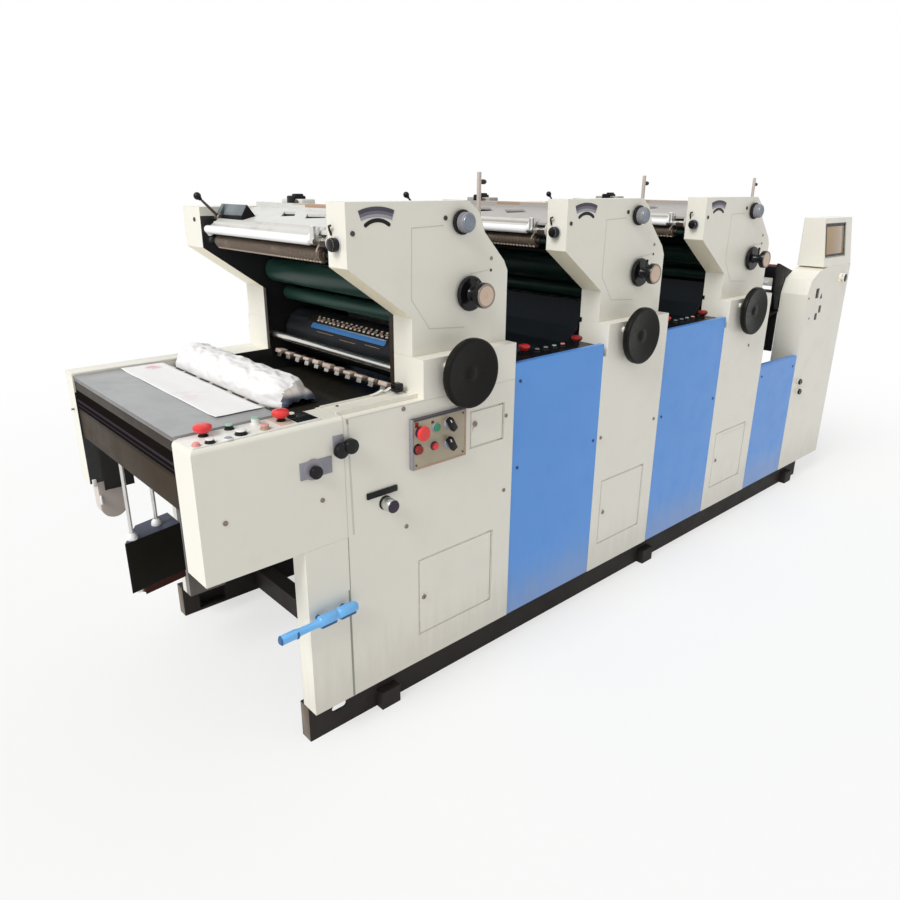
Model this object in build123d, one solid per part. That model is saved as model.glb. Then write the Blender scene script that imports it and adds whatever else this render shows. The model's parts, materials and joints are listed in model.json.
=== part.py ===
from build123d import *
import os
from math import atan2, cos, degrees, hypot, pi, sin

# Small sheet-fed offset printing press with three printing units in line.
# Millimetres. The press is drawn with x = 0 at the delivery end of its base, y = 0 on the
# outer face of the operator's panels and z = 0 on the floor. put() then moves every piece
# so that the origin is the centre of the footprint of the whole press.

# Overall sizes
PRESS_WIDTH = 1010.0
HOUSING_TOP = 1500.0
DRIVE_TOP = 1468.0
BASE_LENGTH = 3180.0
BASE_HEIGHT = 120.0
DELIVERY_END = -268.0
FEEDER_END = 3335.0

# Running clearances
PIN_GAP = 0.3
MOVE_GAP = 5.0

# Printing units
UNIT_COUNT = 3
UNIT_PITCH = 846.0
HOUSING_INSET = 48.0
DRIVE_INSET = 6.0
SIDE_DEPTH = 132.0
LEDGE_Z = 975.0
COVER_TOP = 1087.0
HOUSING_FRONT = 200.0
HOUSING_KNEE_Z = 1340.0
THROAT_X = 405.0
THROAT_Z = 1196.0
HOUSING_BACK = 777.0
HOUSING_BACK_KNEE = (761.0, 1330.0)
BACK_CORNER = 30.0
HOUSING_SHOULDER = (679.0, 1413.0)
HOUSING_CREST = (655.0, 1470.0)
HOUSING_TOP_END = 615.0

# Lower covers and blue panels
FIRST_COVER_FRONT = 134.0
COVER_FRONT = 384.0
COVER_BACK = HOUSING_BACK
PANEL_THICK = 20.0
PANEL_INSET = 2.0
BLUE_TOP = 1020.0
LOW_BLUE_TOP = 740.0
FEEDER_FRONT = 2860.0
BOSS_DROP = 27.0
BOSS = (488.0, COVER_TOP - BOSS_DROP, 9.0)
BOSS_REACH = 7.0
LEDGE_TRAY = (28.0, 108.0, 11.0)
TRAY_LIP = 5.0

# Base
BEAM_INSET = 41.0
BEAM_WIDTH = 45.0
CROSS_WIDTH = 60.0
CROSS_Z = (20.0, 100.0)
CROSS_BACK_INSET = 120.0
CROSS_X = (320.0, 1190.0, 2040.0, BASE_LENGTH - CROSS_BACK_INSET)
FOOT_BACK_INSET = 180.0
FOOT_X = (240.0, 1640.0, BASE_LENGTH - FOOT_BACK_INSET)
FOOT_LENGTH = 70.0
FOOT_HEIGHT = 60.0
FOOT_REACH = 30.0
BEAM_SLOT = (103.0, 72.0, 52.0, 22.0)
SLOT_POCKET = (60.0, 165.0, 10.0, 105.0)
SLOT_WEB = 6.0

# Blanket cylinder and handwheel
SHAFT_X = 555.0
SHAFT_Z = 1033.0
SHAFT_RADIUS = 15.0
DRUM_RADIUS = 80.0
DRUM_END_GAP = 14.0
DRUM_GAP_WIDTH = 22.0
DRUM_GAP_DEPTH = 14.0
CLAMP_BAR_RADIUS = 4.0
JOURNAL_DEPTH = 28.0
WHEEL_RADIUS = 102.0
WHEEL_FRONT = -60.0
WHEEL_RIM_FRONT = -46.0
WHEEL_BACK = -20.0
WHEEL_RIM = 9.0
WHEEL_DISH = 3.0
WHEEL_HUB_RADIUS = 27.0
WHEEL_HUB_BACK = -12.0

# Inking rollers as (x, z, radius) from the front of the unit
UPPER_ROLLER = (452.0, 1256.0, 40.0)
LOWER_ROLLER = (500.0, 1172.0, 24.0)
PLATE_CYLINDER = (606.0, 1198.0, 75.0)
DISTRIBUTOR = (540.0, 1300.0, 32.0)
RIDER = (470.0, 1352.0, 22.0)
REAR_ROLLER = (640.0, 1320.0, 26.0)
FOUNTAIN_ROLLER = (232.0, 1364.0, 19.0)
ROLLER_JOURNAL = 9.0
ROLLER_END_GAP = 12.0
FOUNTAIN_END_GAP = 66.0
ROLLER_SEAT = 20.0

# Knobs
INK_KNOB = (582.0, 1444.0)
INK_KNOB_RADIUS = 30.0
INK_KNOB_SKIRT = 10.0
INK_KNOB_FRONT = 8.0
REGISTER_KNOB = (615.0, 1246.0)
REGISTER_DISC_RADIUS = 50.0
REGISTER_DISC_THICK = 14.0
REGISTER_FACE_RADIUS = 36.0
REGISTER_FACE_THICK = 23.0
REGISTER_FRONT = -30.0
REGISTER_NECK = 18.0
REGISTER_HANDLE = 46.0
SPINDLE_RADIUS = 6.0
SPINDLE_DEPTH = 30.0
COLLAR_RADIUS = 13.0

# Throw-off lever on the drive side
LEVER_PIVOT = (253.0, 1433.0)
LEVER_TIP = (183.0, 1502.0)
LEVER_BALL = 12.0
LEVER_ROD = 4.5
LEVER_PLANE = 34.0
LEVER_HUB_RADIUS = 14.0
LEVER_HUB_REACH = 8.0

# Ink duct, deck and what stands on the deck
DUCT_LIP = (201.0, 1400.0)
DUCT_LIP_RADIUS = 9.0
DUCT_LIP_RISE = 38.0
DUCT_LENGTH = 56.0
DUCT_END_PLACE = (34.0, -4.0)
DUCT_END_RADIUS = 15.0
DUCT_NEAR_GAP = 60.0
DUCT_FAR_GAP = LEVER_PLANE + LEVER_HUB_REACH + MOVE_GAP + 1.0
DUCT_FLANGE = (225.0, 1400.0, 26.0)
DUCT_FLANGE_THICK = 10.0
DUCT_KNOB = (92.0, 1398.0, 16.0)
DUCT_KNOB_THICK = 20.0
DECK_START = (222.0, 1424.0)
DECK_BEND = (402.0, 1466.0)
DECK_END = 640.0
DECK_THICK = 8.0
DECK_INSET = 6.0
DECK_SKIRT_END = 990.0
DECK_NOTCH = 60.0
DECK_SLOTS = (
    ((368.0, 632.0), (374.0, 574.0), (334.0, 513.0), (320.0, 570.0)),
    ((356.0, 478.0), (367.0, 392.0), (334.0, 346.0), (317.0, 426.0)),
)
CROSSBAR_X = (404.0, 424.0)
CROSSBAR_HEIGHT = 16.0
DRIVE_BOX_X = (256.0, 304.0)
DRIVE_BOX_STEP = 12.0
DRIVE_BOX_CREST = (278.0, 1478.0)
DRIVE_BOX_NEAR = 700.0
DRIVE_BOX_FAR = 20.0
MOTOR_X = (440.0, 490.0)
MOTOR_Y = (642.0, 771.0)
MOTOR_HEIGHT = 30.0
MOTOR_CAP_Y = (677.0, 738.0)
MOTOR_CAP_HEIGHT = 44.0
POST_X = 738.0
POST_WIDTH = 11.0
POST_Z = (1290.0, 1577.0)
POST_KNOB_DROP = 27.0
POST_KNOB_LENGTH = 22.0
POST_KNOB_RADIUS = 7.0

# Access doors: (x from, x to, z from, z to) on each cover
LARGE_DOOR = (384.0, 690.0, 222.0, 474.0)
MIDDLE_DOOR = (436.0, 704.0, 228.0, 486.0)
SMALL_DOOR = (590.0, 728.0, 790.0, 900.0)
DOOR_THICK = 14.0
HINGE_PIN = 3.5
HINGE_SEAT = 12.0
CAVITY_DEPTH = 80.0
LOCK_INSET = 14.0
LOCK_RADIUS = 8.0
LOCK_REACH = 3.0

# Guards and button trays between the units
HOOD_START = 3.0
HOOD_Z = (984.0, 1000.0, 1050.0, 1140.0)
HOOD_EDGE = 338.0
HOOD_BEND = 393.0
HOOD_END = 428.0
HOOD_THICK = 8.0
TRAY_ENDS = (12.0, 10.0)
TRAY_DROP = (38.0, 4.0)
BUTTON_Y = 80.0
BUTTON_RADIUS = 12.0
BUTTON_HEIGHT = 9.0
BUTTON_STEP = 52.0
BUTTON_COUNT = 4
STOP_INSET = 46.0
STOP_STEM = (11.0, 16.0)
STOP_HEAD = (20.0, 15.0)

# Delivery
BOX_Z = (638.0, 982.0)
BOX_EDGE = 12.0
NEAR_BOX_DEPTH = 104.0
FAR_BOX_WIDTH = 65.0
FAR_BOX_INSET = 100.0
FAR_BOX_RISE = 8.0
FAR_BOX = (PRESS_WIDTH - FAR_BOX_INSET - FAR_BOX_WIDTH, PRESS_WIDTH - FAR_BOX_INSET)
TABLE_BACK = 15.0
TABLE_TOP = 990.0
TABLE_THICK = 12.0
TABLE_INSET = 4.0
FASCIA_Z = 796.0
FASCIA_THICK = 20.0
FASCIA_INSET = 6.0
FASCIA_MARGIN = 66.0
RECESS_DEPTH = 9.0
LONG_RECESS = (909.0, 926.0)
SHORT_RECESS = (889.0, 903.0)
SHORT_RECESS_LENGTH = 210.0
CHAIN_COVER = (32.0, 236.0)
CHAIN_COVER_TOP = 972.0
CHAIN_COVER_THICK = 8.0
CHAIN_PAN = ((300.0, 905.0), (760.0, 880.0))
GRIPPER_BAR = (474.0, 950.0)
GRIPPER_BAR_RADIUS = 11.0
FINGER_COUNT = 12
FINGER_WIDTH = 24.0
FINGER_LENGTH = 46.0
FINGER_RISE = 18.0
SHEET_BAR = (432.0, 1028.0)
SHEET_BAR_RADIUS = 12.0
SIDE_MARGIN = 38.0
WRAP_X = (34.0, 176.0)
WRAP_HEIGHT = 86.0
SHEET_X = (-128.0, 8.0)
SHEET_THICK = 2.0
LEG_DEPTH = 66.0

# Operator's controls
CONTROL_PLATE = (-256.0, 80.0, 12.0, 100.0)
CONTROL_PLATE_THICK = 3.0
STOP_PLACES = ((-202.0, 78.0), (-7.0, 62.0))
PUSH_PLACES = (
    (-243.0, 24.0),
    (-210.0, 24.0),
    (-133.0, 86.0),
    (-129.0, 33.0),
    (-67.0, 81.0),
    (-68.0, 30.0),
    (33.0, 81.0),
)
PUSH_RADIUS = 9.0
PUSH_HEIGHT = 8.0
KNOB_PLATE = (0.0, 94.0, 840.0, 886.0)
SIDE_KNOB = (45.0, 857.0, 17.0, 24.0)
PAIR_PLATE = (100.0, 132.0, 889.0, 936.0)
PAIR_KNOB = (134.0, 888.0, 20.0, 30.0)
PAIR_REAR_KNOB = (163.0, 893.0, 20.0, 22.0)
SIDE_PLATE_THICK = 3.0
CONTROL_BOX_X = (352.0, 554.0)
CONTROL_BOX_Z = (781.0, 926.0)
CONTROL_BOX_DEPTH = 14.0
STOP_BUTTON = (415.0, 872.0, 17.0, 26.0)
BOX_BUTTONS = ((434.0, 902.0), (470.0, 903.0), (470.0, 838.0), (408.0, 812.0), (442.0, 812.0))
BOX_BUTTON_RADIUS = 10.0
BOX_BUTTON_REACH = 9.0
AIR_KNOB = (267.0, 706.0, 20.0, 40.0)
AIR_BAR_X = (199.0, 303.0)
AIR_BAR_Z = (730.0, 748.0)
AIR_BAR_DEPTH = 6.0

# Blue foot bar on the delivery leg
STEP_ARM_X = (-108.0, 136.0)
STEP_ARM_Z = (418.0, 440.0)
STEP_KNUCKLE_X = (-108.0, -46.0)
STEP_KNUCKLE_Z = (406.0, 442.0)
STEP_PADS = ((10.0, 68.0), (72.0, 130.0))
STEP_PAD_Z = (410.0, 456.0)
STEP_Y = (-34.0, -16.0)
STEP_PAD_DEPTH = 6.0
STEP_FEET = (24.0, 104.0)
STEP_FOOT_LENGTH = 16.0

# Pile carriage under the delivery table
CARRIAGE_PLAN = ((-264.0, 600.0), (-80.0, 636.0), (-80.0, 738.0), (-194.0, 709.0))
CARRIAGE_Z = (350.0, 520.0)
SKID_PLAN = ((-236.0, 608.0), (-82.0, 638.0), (-82.0, 700.0), (-200.0, 690.0))
SKID_DROP = 24.0
ROD_PLACES = ((-234.0, 621.0), (-140.0, 672.0))
ROD_RADIUS = 6.0
COLLAR_HEIGHT = 10.0
ROD_COLLAR_RADIUS = 11.0
HANGER_HEIGHT = 18.0
HANGER_WIDTH = 20.0
HANGER_END = 60.0

# Round guard under the drive-side delivery box
GUARD_RADIUS = 42.0
GUARD_X = -204.0
GUARD_DROP = 92.0
GUARD_INSET = 8.0
GUARD_PLATE_X = (-228.0, -136.0)
GUARD_PLATE_THICK = 6.0
GUARD_PLATE_DROP = 30.0

# Feeder
FEEDER_TOP = 1165.0
SHOULDER = ((0.0, 125.0), (30.0, 55.0), (110.0, 15.0), (190.0, 0.0))
FEEDER_KNOBS = ((2928.0, 594.0, 12.0, 16.0), (2940.0, 540.0, 12.0, 16.0), (3232.0, 1099.0, 24.0, 26.0))
CONSOLE_X = (3000.0, 3330.0)
CONSOLE_TOP = 1396.0
CONSOLE_LEAN = 32.0
SCREEN_X = (3012.0, 3250.0)
SCREEN_Z = (1212.0, 1368.0)
SCREEN_DEPTH = 4.0
ARM_THICK = 14.0
ARM_POINTS = ((2776.0, 1060.0), (2776.0, 1150.0), (2800.0, 1186.0), (2960.0, 1140.0), (2960.0, 960.0))
ARM_TAIL = (2812.0, 960.0)
HEAD_X = (2790.0, 2862.0)
HEAD_Z = (1116.0, 1160.0)
HEAD_RAIL_X = (2782.0, 2872.0)
HEAD_RAIL_Z = (1076.0, 1116.0)
HEAD_DRUM = (2850.0, 1008.0, 42.0)
HEAD_BAR = (2808.0, 1172.0, 7.0)
SUCKER_COUNT = 6
SUCKER_RADIUS = 8.0
SUCKER_MARGIN = 190.0
SUCKER_X = 2884.0
SUCKER_Z = (1040.0, 1100.0)
BOARD_GAP = 6.0
BOARD_Z = (900.0, 955.0)
BOARD_THICK = 10.0
BOARD_OVERLAP = 20.0
PILE_X = (2880.0, 3310.0)
PILE_Z = (380.0, 430.0, 462.0)
PILE_SIDE_GAP = 10.0
PILE_RAIL_INSET = 40.0
PILE_RAIL_WIDTH = 50.0

MID_X = (DELIVERY_END + FEEDER_END) / 2
MID_Y = (WHEEL_FRONT + PRESS_WIDTH) / 2
INNER_NEAR = SIDE_DEPTH
INNER_FAR = PRESS_WIDTH - SIDE_DEPTH
INNER = (INNER_NEAR, INNER_FAR)
TABLE_Y = (NEAR_BOX_DEPTH, FAR_BOX[0])
PAPER_Y = (INNER_NEAR + SIDE_MARGIN, FAR_BOX[0] - GUARD_INSET)
BEAM_INNER = (BEAM_INSET + BEAM_WIDTH, PRESS_WIDTH - BEAM_INSET - BEAM_WIDTH)
LEVER_Y = INNER_FAR - LEVER_PLANE


def put(name, *solids):
    """Writes one sub-part, with the origin moved under the middle of the press."""
    moved = [Pos(-MID_X, -MID_Y, 0) * solid for solid in solids]
    shape = Compound([piece for solid in moved for piece in solid.solids()])
    export_step(shape, f"parts/{name}.step")


def block(x, y, z):
    """A box from three (low, high) pairs."""
    size = (x[1] - x[0], y[1] - y[0], z[1] - z[0])
    return Pos(sum(x) / 2, sum(y) / 2, sum(z) / 2) * Box(*size)


def profile(points, y):
    """A plate whose outline lies in the x-z plane and which runs from y[0] to y[1]."""
    outline = make_face(Polyline(*points, close=True))
    return extrude(Plane.XZ.offset(-y[0]) * outline, -(y[1] - y[0]))


def plan(points, z):
    """A block whose outline is seen from above and which runs from z[0] to z[1]."""
    return Pos(0, 0, z[0]) * extrude(make_face(Polyline(*points, close=True)), z[1] - z[0])


def rod(x, z, radius, y):
    """A round bar across the press."""
    length = y[1] - y[0]
    return Pos(x, (y[0] + y[1]) / 2, z) * Rot(90, 0, 0) * Cylinder(radius, length)


def post(x, y, radius, z):
    """A round bar that stands upright."""
    return Pos(x, y, (z[0] + z[1]) / 2) * Cylinder(radius, z[1] - z[0])


def turned(x, z, points):
    """A piece turned about an axis across the press, from (radius, y) points."""
    outline = make_face(Polyline(*[(r, y, 0) for r, y in points], close=True))
    return Pos(x, 0, z) * revolve(outline, Axis.Y, 360)


def unit_x(unit, x):
    """Distance along the press of a place that is x behind the front of a unit."""
    return unit * UNIT_PITCH + x


def placed(unit, points):
    """Points of a side view, moved to a unit."""
    return [(unit_x(unit, x), z) for x, z in points]


def far(span):
    """The same distance measured in from the drive side."""
    return (PRESS_WIDTH - span[1], PRESS_WIDTH - span[0])


# Base frame
def beam(span, inner):
    """A long base beam with a lifting slot at its delivery end, hollowed from its inner side."""
    body = block((0, BASE_LENGTH), span, (0, BASE_HEIGHT))
    x, z, length, height = BEAM_SLOT
    hole = extrude(SlotOverall(length, height), BEAM_WIDTH, both=True)
    slot = Pos(x, sum(span) / 2, z) * Rot(90, 0, 0) * hole
    return body - slot - block(SLOT_POCKET[:2], inner, SLOT_POCKET[2:])


def cross_members():
    """Flat bars that tie the two beams together."""
    half = CROSS_WIDTH / 2
    return [block((x - half, x + half), BEAM_INNER, CROSS_Z) for x in CROSS_X]


def feet():
    """Lugs on the outside of both beams, bolted to the floor."""
    lugs = []
    for x in FOOT_X:
        span = (BEAM_INSET - FOOT_REACH, BEAM_INSET)
        for side in (span, far(span)):
            lugs.append(block((x, x + FOOT_LENGTH), side, (0, FOOT_HEIGHT)))
    return lugs


# Covers and doors
def door_sizes(unit):
    """The doors of one lower cover."""
    return (LARGE_DOOR, SMALL_DOOR) if unit == 0 else (MIDDLE_DOOR,)


def door_opening(unit, size):
    """The hollow that a door closes and its hinge holes."""
    x0, x1, z0, z1 = size
    x0 = unit_x(unit, x0)
    x1 = unit_x(unit, x1)
    front = block((x0 - MOVE_GAP, x1 + MOVE_GAP), (0, CAVITY_DEPTH), (z0 - MOVE_GAP, z1 + MOVE_GAP))
    reach = MOVE_GAP + HINGE_SEAT + PIN_GAP
    half = DOOR_THICK / 2
    return front + post(x1 - half, half, HINGE_PIN + PIN_GAP, (z0 - reach, z1 + reach))


def door(unit, size):
    """A flat door with a rounded hinge edge, pins at top and bottom and a lock."""
    x0, x1, z0, z1 = size
    x0 = unit_x(unit, x0)
    x1 = unit_x(unit, x1)
    half = DOOR_THICK / 2
    reach = MOVE_GAP + HINGE_SEAT
    leaf = block((x0, x1 - half), (0, DOOR_THICK), (z0, z1))
    leaf += post(x1 - half, half, half, (z0, z1))
    leaf += post(x1 - half, half, HINGE_PIN, (z0 - reach, z1 + reach))
    return leaf + rod(x0 + LOCK_INSET, (z0 + z1) / 2, LOCK_RADIUS, (-LOCK_REACH, DOOR_THICK))


def ledge_tray():
    """The shallow tray with a raised lip on the ledge of the first cover."""
    y0, y1, height = LEDGE_TRAY
    x = (FIRST_COVER_FRONT, THROAT_X)
    body = block(x, (y0, y1), (LEDGE_Z, LEDGE_Z + height))
    inside = (LEDGE_Z + height - TRAY_LIP, LEDGE_Z + height)
    return body - block((x[0], x[1] - TRAY_LIP), (y0 + TRAY_LIP, y1 - TRAY_LIP), inside)


def cover(unit, span, operator_side):
    """One lower cover with the step that the housing stands on."""
    front = FIRST_COVER_FRONT if unit == 0 else COVER_FRONT
    x0 = unit_x(unit, front)
    x1 = unit_x(unit, COVER_BACK)
    shaft_x = unit_x(unit, SHAFT_X)
    body = block((x0, x1), span, (BASE_HEIGHT, LEDGE_Z))
    body += block((unit_x(unit, THROAT_X), x1), span, (LEDGE_Z, COVER_TOP))
    if not operator_side:
        seat = (span[0], span[0] + JOURNAL_DEPTH + PIN_GAP)
        return body - rod(shaft_x, SHAFT_Z, SHAFT_RADIUS + PIN_GAP, seat)
    body -= rod(shaft_x, SHAFT_Z, SHAFT_RADIUS + PIN_GAP, span)
    for size in door_sizes(unit):
        body -= door_opening(unit, size)
    x, z, radius = BOSS
    body += rod(unit_x(unit, x), z, radius, (-BOSS_REACH, PIN_GAP))
    if unit == 0:
        body += ledge_tray()
    return body


def blue_panels(y):
    """The blue panels that close the gaps between the units."""
    panels = []
    for unit in range(UNIT_COUNT):
        last = unit == UNIT_COUNT - 1
        x1 = FEEDER_FRONT if last else unit_x(unit + 1, COVER_FRONT)
        top = LOW_BLUE_TOP if last else BLUE_TOP
        panels.append(block((unit_x(unit, COVER_BACK), x1), y, (BASE_HEIGHT, top)))
    return panels


# Upper housings
def roller_list():
    """Every roller that runs in the housings."""
    return (UPPER_ROLLER, LOWER_ROLLER, PLATE_CYLINDER, DISTRIBUTOR, RIDER, REAR_ROLLER, FOUNTAIN_ROLLER)


def housing_outline(unit, top):
    """Side view of an upper housing. The lower one on the drive side has no bevelled crest."""
    crest = [(HOUSING_TOP_END, top), HOUSING_CREST]
    if top <= HOUSING_CREST[1]:
        crest = [(HOUSING_CREST[0], top)]
    front = [(THROAT_X, COVER_TOP), (THROAT_X, THROAT_Z), (HOUSING_FRONT, HOUSING_KNEE_Z)]
    front += [(HOUSING_FRONT, top)]
    corner = (HOUSING_BACK, HOUSING_BACK_KNEE[1] - BACK_CORNER)
    back = [HOUSING_SHOULDER, HOUSING_BACK_KNEE, corner, (HOUSING_BACK, COVER_TOP)]
    return placed(unit, front + crest + back)


def operator_housing(unit):
    """The operator's upper housing with its duct knob and the seats of its rollers and knobs."""
    body = profile(housing_outline(unit, HOUSING_TOP), (HOUSING_INSET, INNER_NEAR))
    knob_y, knob_z, knob_radius = DUCT_KNOB
    knob_x = unit_x(unit, HOUSING_FRONT) - DUCT_KNOB_THICK / 2
    body += Pos(knob_x, knob_y, knob_z) * Rot(0, 90, 0) * Cylinder(knob_radius, DUCT_KNOB_THICK)
    seat = (INNER_NEAR - ROLLER_SEAT - PIN_GAP, INNER_NEAR)
    for x, z, _ in roller_list():
        body -= rod(unit_x(unit, x), z, ROLLER_JOURNAL + PIN_GAP, seat)
    for x, z in (INK_KNOB, REGISTER_KNOB):
        x = unit_x(unit, x)
        body += rod(x, z, COLLAR_RADIUS, (HOUSING_INSET - MOVE_GAP + PIN_GAP, HOUSING_INSET + PIN_GAP))
        hole = (HOUSING_INSET - MOVE_GAP, HOUSING_INSET + SPINDLE_DEPTH + PIN_GAP)
        body -= rod(x, z, SPINDLE_RADIUS + PIN_GAP, hole)
    return body


def drive_housing(unit):
    """The lower housing on the drive side with the seats of its rollers and lever."""
    body = profile(housing_outline(unit, DRIVE_TOP), far((DRIVE_INSET, SIDE_DEPTH)))
    seat = (INNER_FAR, INNER_FAR + ROLLER_SEAT + PIN_GAP)
    for x, z, _ in roller_list():
        body -= rod(unit_x(unit, x), z, ROLLER_JOURNAL + PIN_GAP, seat)
    x, z = LEVER_PIVOT
    hole = (INNER_FAR, INNER_FAR + SPINDLE_DEPTH + PIN_GAP)
    return body - rod(unit_x(unit, x), z, SPINDLE_RADIUS + PIN_GAP, hole)


# Rollers and cylinders
def roller(unit, place):
    """A roller with a journal at each end."""
    x, z, radius = place
    x = unit_x(unit, x)
    gap = FOUNTAIN_END_GAP if place == FOUNTAIN_ROLLER else ROLLER_END_GAP
    body = rod(x, z, radius, (INNER_NEAR + gap, INNER_FAR - gap))
    return body + rod(x, z, ROLLER_JOURNAL, (INNER_NEAR - ROLLER_SEAT, INNER_FAR + ROLLER_SEAT))


def blanket_cylinder(unit):
    """The blanket cylinder with its clamping gap, clamp bar and long shaft."""
    x = unit_x(unit, SHAFT_X)
    drum = rod(x, SHAFT_Z, DRUM_RADIUS, (INNER_NEAR + DRUM_END_GAP, INNER_FAR - DRUM_END_GAP))
    half = DRUM_GAP_WIDTH / 2
    floor_z = SHAFT_Z + DRUM_RADIUS - DRUM_GAP_DEPTH
    drum -= block((x - half, x + half), INNER, (floor_z, SHAFT_Z + DRUM_RADIUS))
    clamp = (INNER_NEAR + DRUM_END_GAP, INNER_FAR - DRUM_END_GAP)
    drum += rod(x, floor_z + CLAMP_BAR_RADIUS / 2, CLAMP_BAR_RADIUS, clamp)
    return drum + rod(x, SHAFT_Z, SHAFT_RADIUS, (WHEEL_HUB_BACK, INNER_FAR + JOURNAL_DEPTH))


def handwheel(unit):
    """A flat black wheel on the end of the cylinder shaft, with its boss in front."""
    bevel = WHEEL_RIM / 3
    points = [
        (0, WHEEL_HUB_BACK),
        (WHEEL_HUB_RADIUS, WHEEL_HUB_BACK),
        (WHEEL_HUB_RADIUS, WHEEL_BACK),
        (WHEEL_RADIUS - bevel, WHEEL_BACK),
        (WHEEL_RADIUS, WHEEL_BACK - bevel),
        (WHEEL_RADIUS, WHEEL_RIM_FRONT + bevel),
        (WHEEL_RADIUS - bevel, WHEEL_RIM_FRONT),
        (WHEEL_RADIUS - WHEEL_RIM, WHEEL_RIM_FRONT),
        (WHEEL_RADIUS - WHEEL_RIM - WHEEL_DISH, WHEEL_RIM_FRONT + WHEEL_DISH),
        (WHEEL_HUB_RADIUS, WHEEL_RIM_FRONT + WHEEL_DISH),
        (WHEEL_HUB_RADIUS - bevel, WHEEL_FRONT),
        (0, WHEEL_FRONT),
    ]
    return turned(unit_x(unit, SHAFT_X), SHAFT_Z, points)


def ink_knob(unit):
    """A bright knob on a black skirt."""
    back = HOUSING_INSET - MOVE_GAP
    inset = INK_KNOB_SKIRT / 3
    points = [
        (0, HOUSING_INSET + SPINDLE_DEPTH),
        (SPINDLE_RADIUS, HOUSING_INSET + SPINDLE_DEPTH),
        (SPINDLE_RADIUS, back),
        (INK_KNOB_RADIUS, back),
        (INK_KNOB_RADIUS, back - INK_KNOB_SKIRT),
        (INK_KNOB_RADIUS - inset, back - INK_KNOB_SKIRT),
        (INK_KNOB_RADIUS - inset, INK_KNOB_FRONT + inset),
        (INK_KNOB_RADIUS - 2 * inset, INK_KNOB_FRONT),
        (0, INK_KNOB_FRONT),
    ]
    return turned(unit_x(unit, INK_KNOB[0]), INK_KNOB[1], points)


def register_knob(unit):
    """A large disc against the housing, a dial in front of it and a small handle between them."""
    x = unit_x(unit, REGISTER_KNOB[0])
    z = REGISTER_KNOB[1]
    back = HOUSING_INSET - MOVE_GAP
    disc_front = back - REGISTER_DISC_THICK
    face_back = REGISTER_FRONT + REGISTER_FACE_THICK
    cone = REGISTER_NECK / 2
    points = [
        (0, HOUSING_INSET + SPINDLE_DEPTH),
        (SPINDLE_RADIUS, HOUSING_INSET + SPINDLE_DEPTH),
        (SPINDLE_RADIUS, back),
        (REGISTER_DISC_RADIUS, back),
        (REGISTER_DISC_RADIUS, disc_front),
        (REGISTER_NECK, disc_front - cone),
        (REGISTER_NECK, face_back + PIN_GAP),
        (REGISTER_FACE_RADIUS, face_back),
        (REGISTER_FACE_RADIUS, REGISTER_FRONT + 2),
        (REGISTER_FACE_RADIUS - 2, REGISTER_FRONT),
        (0, REGISTER_FRONT),
    ]
    half = SPINDLE_RADIUS / 2
    middle = (disc_front + face_back) / 2
    handle = block((x - half, x + half), (middle - half, middle + half), (z, z + REGISTER_HANDLE))
    return turned(x, z, points) + handle


def throw_lever(unit):
    """A bent lever with a black ball, which lifts the rollers."""
    x, z = LEVER_PIVOT
    run = LEVER_TIP[0] - x
    rise = LEVER_TIP[1] - z
    length = hypot(run, rise)
    arm = Pos(0, 0, length / 2) * Cylinder(LEVER_ROD, length) + Pos(0, 0, length) * Sphere(LEVER_BALL)
    arm = Rot(0, degrees(atan2(run, rise)), 0) * arm
    hub = rod(0, 0, LEVER_HUB_RADIUS, (-LEVER_HUB_REACH, LEVER_HUB_REACH))
    pin = rod(0, 0, SPINDLE_RADIUS, (0, LEVER_PLANE + SPINDLE_DEPTH))
    return Pos(unit_x(unit, x), LEVER_Y, z) * (arm + hub + pin)


# Ink duct and deck
def ink_duct(unit):
    """The duct with its rolled lip, its end seats and the flange at its near end."""
    lip_x, z = DUCT_LIP
    x = unit_x(unit, lip_x)
    radius = DUCT_LIP_RADIUS
    y = (INNER_NEAR + DUCT_NEAR_GAP, INNER_FAR - DUCT_FAR_GAP)
    end = x + DUCT_LENGTH
    upper = [(x, z + radius), (x + 2 * radius, z + radius + 5), (end, z + 2 * radius)]
    lower = [(end, z - radius), (x + 2 * radius, z - radius), (x, z - radius)]
    duct = profile(upper + lower, y) + rod(x, z, radius, y)
    duct += post(x, y[0] + radius, radius, (z, z + DUCT_LIP_RISE))
    for span in ((INNER_NEAR, y[0]), (y[1], INNER_FAR)):
        duct += rod(x + DUCT_END_PLACE[0], z + DUCT_END_PLACE[1], DUCT_END_RADIUS, span)
    flange_x, flange_z, flange_radius = DUCT_FLANGE
    flange = (INNER_NEAR, INNER_NEAR + DUCT_FLANGE_THICK)
    return duct + rod(unit_x(unit, flange_x), flange_z, flange_radius, flange)


def deck_height(x):
    """Height of the deck's upper face at a place x behind the front of a unit."""
    slope = (DECK_BEND[1] - DECK_START[1]) / (DECK_BEND[0] - DECK_START[0])
    return DECK_START[1] + (min(x, DECK_BEND[0]) - DECK_START[0]) * slope


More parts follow.
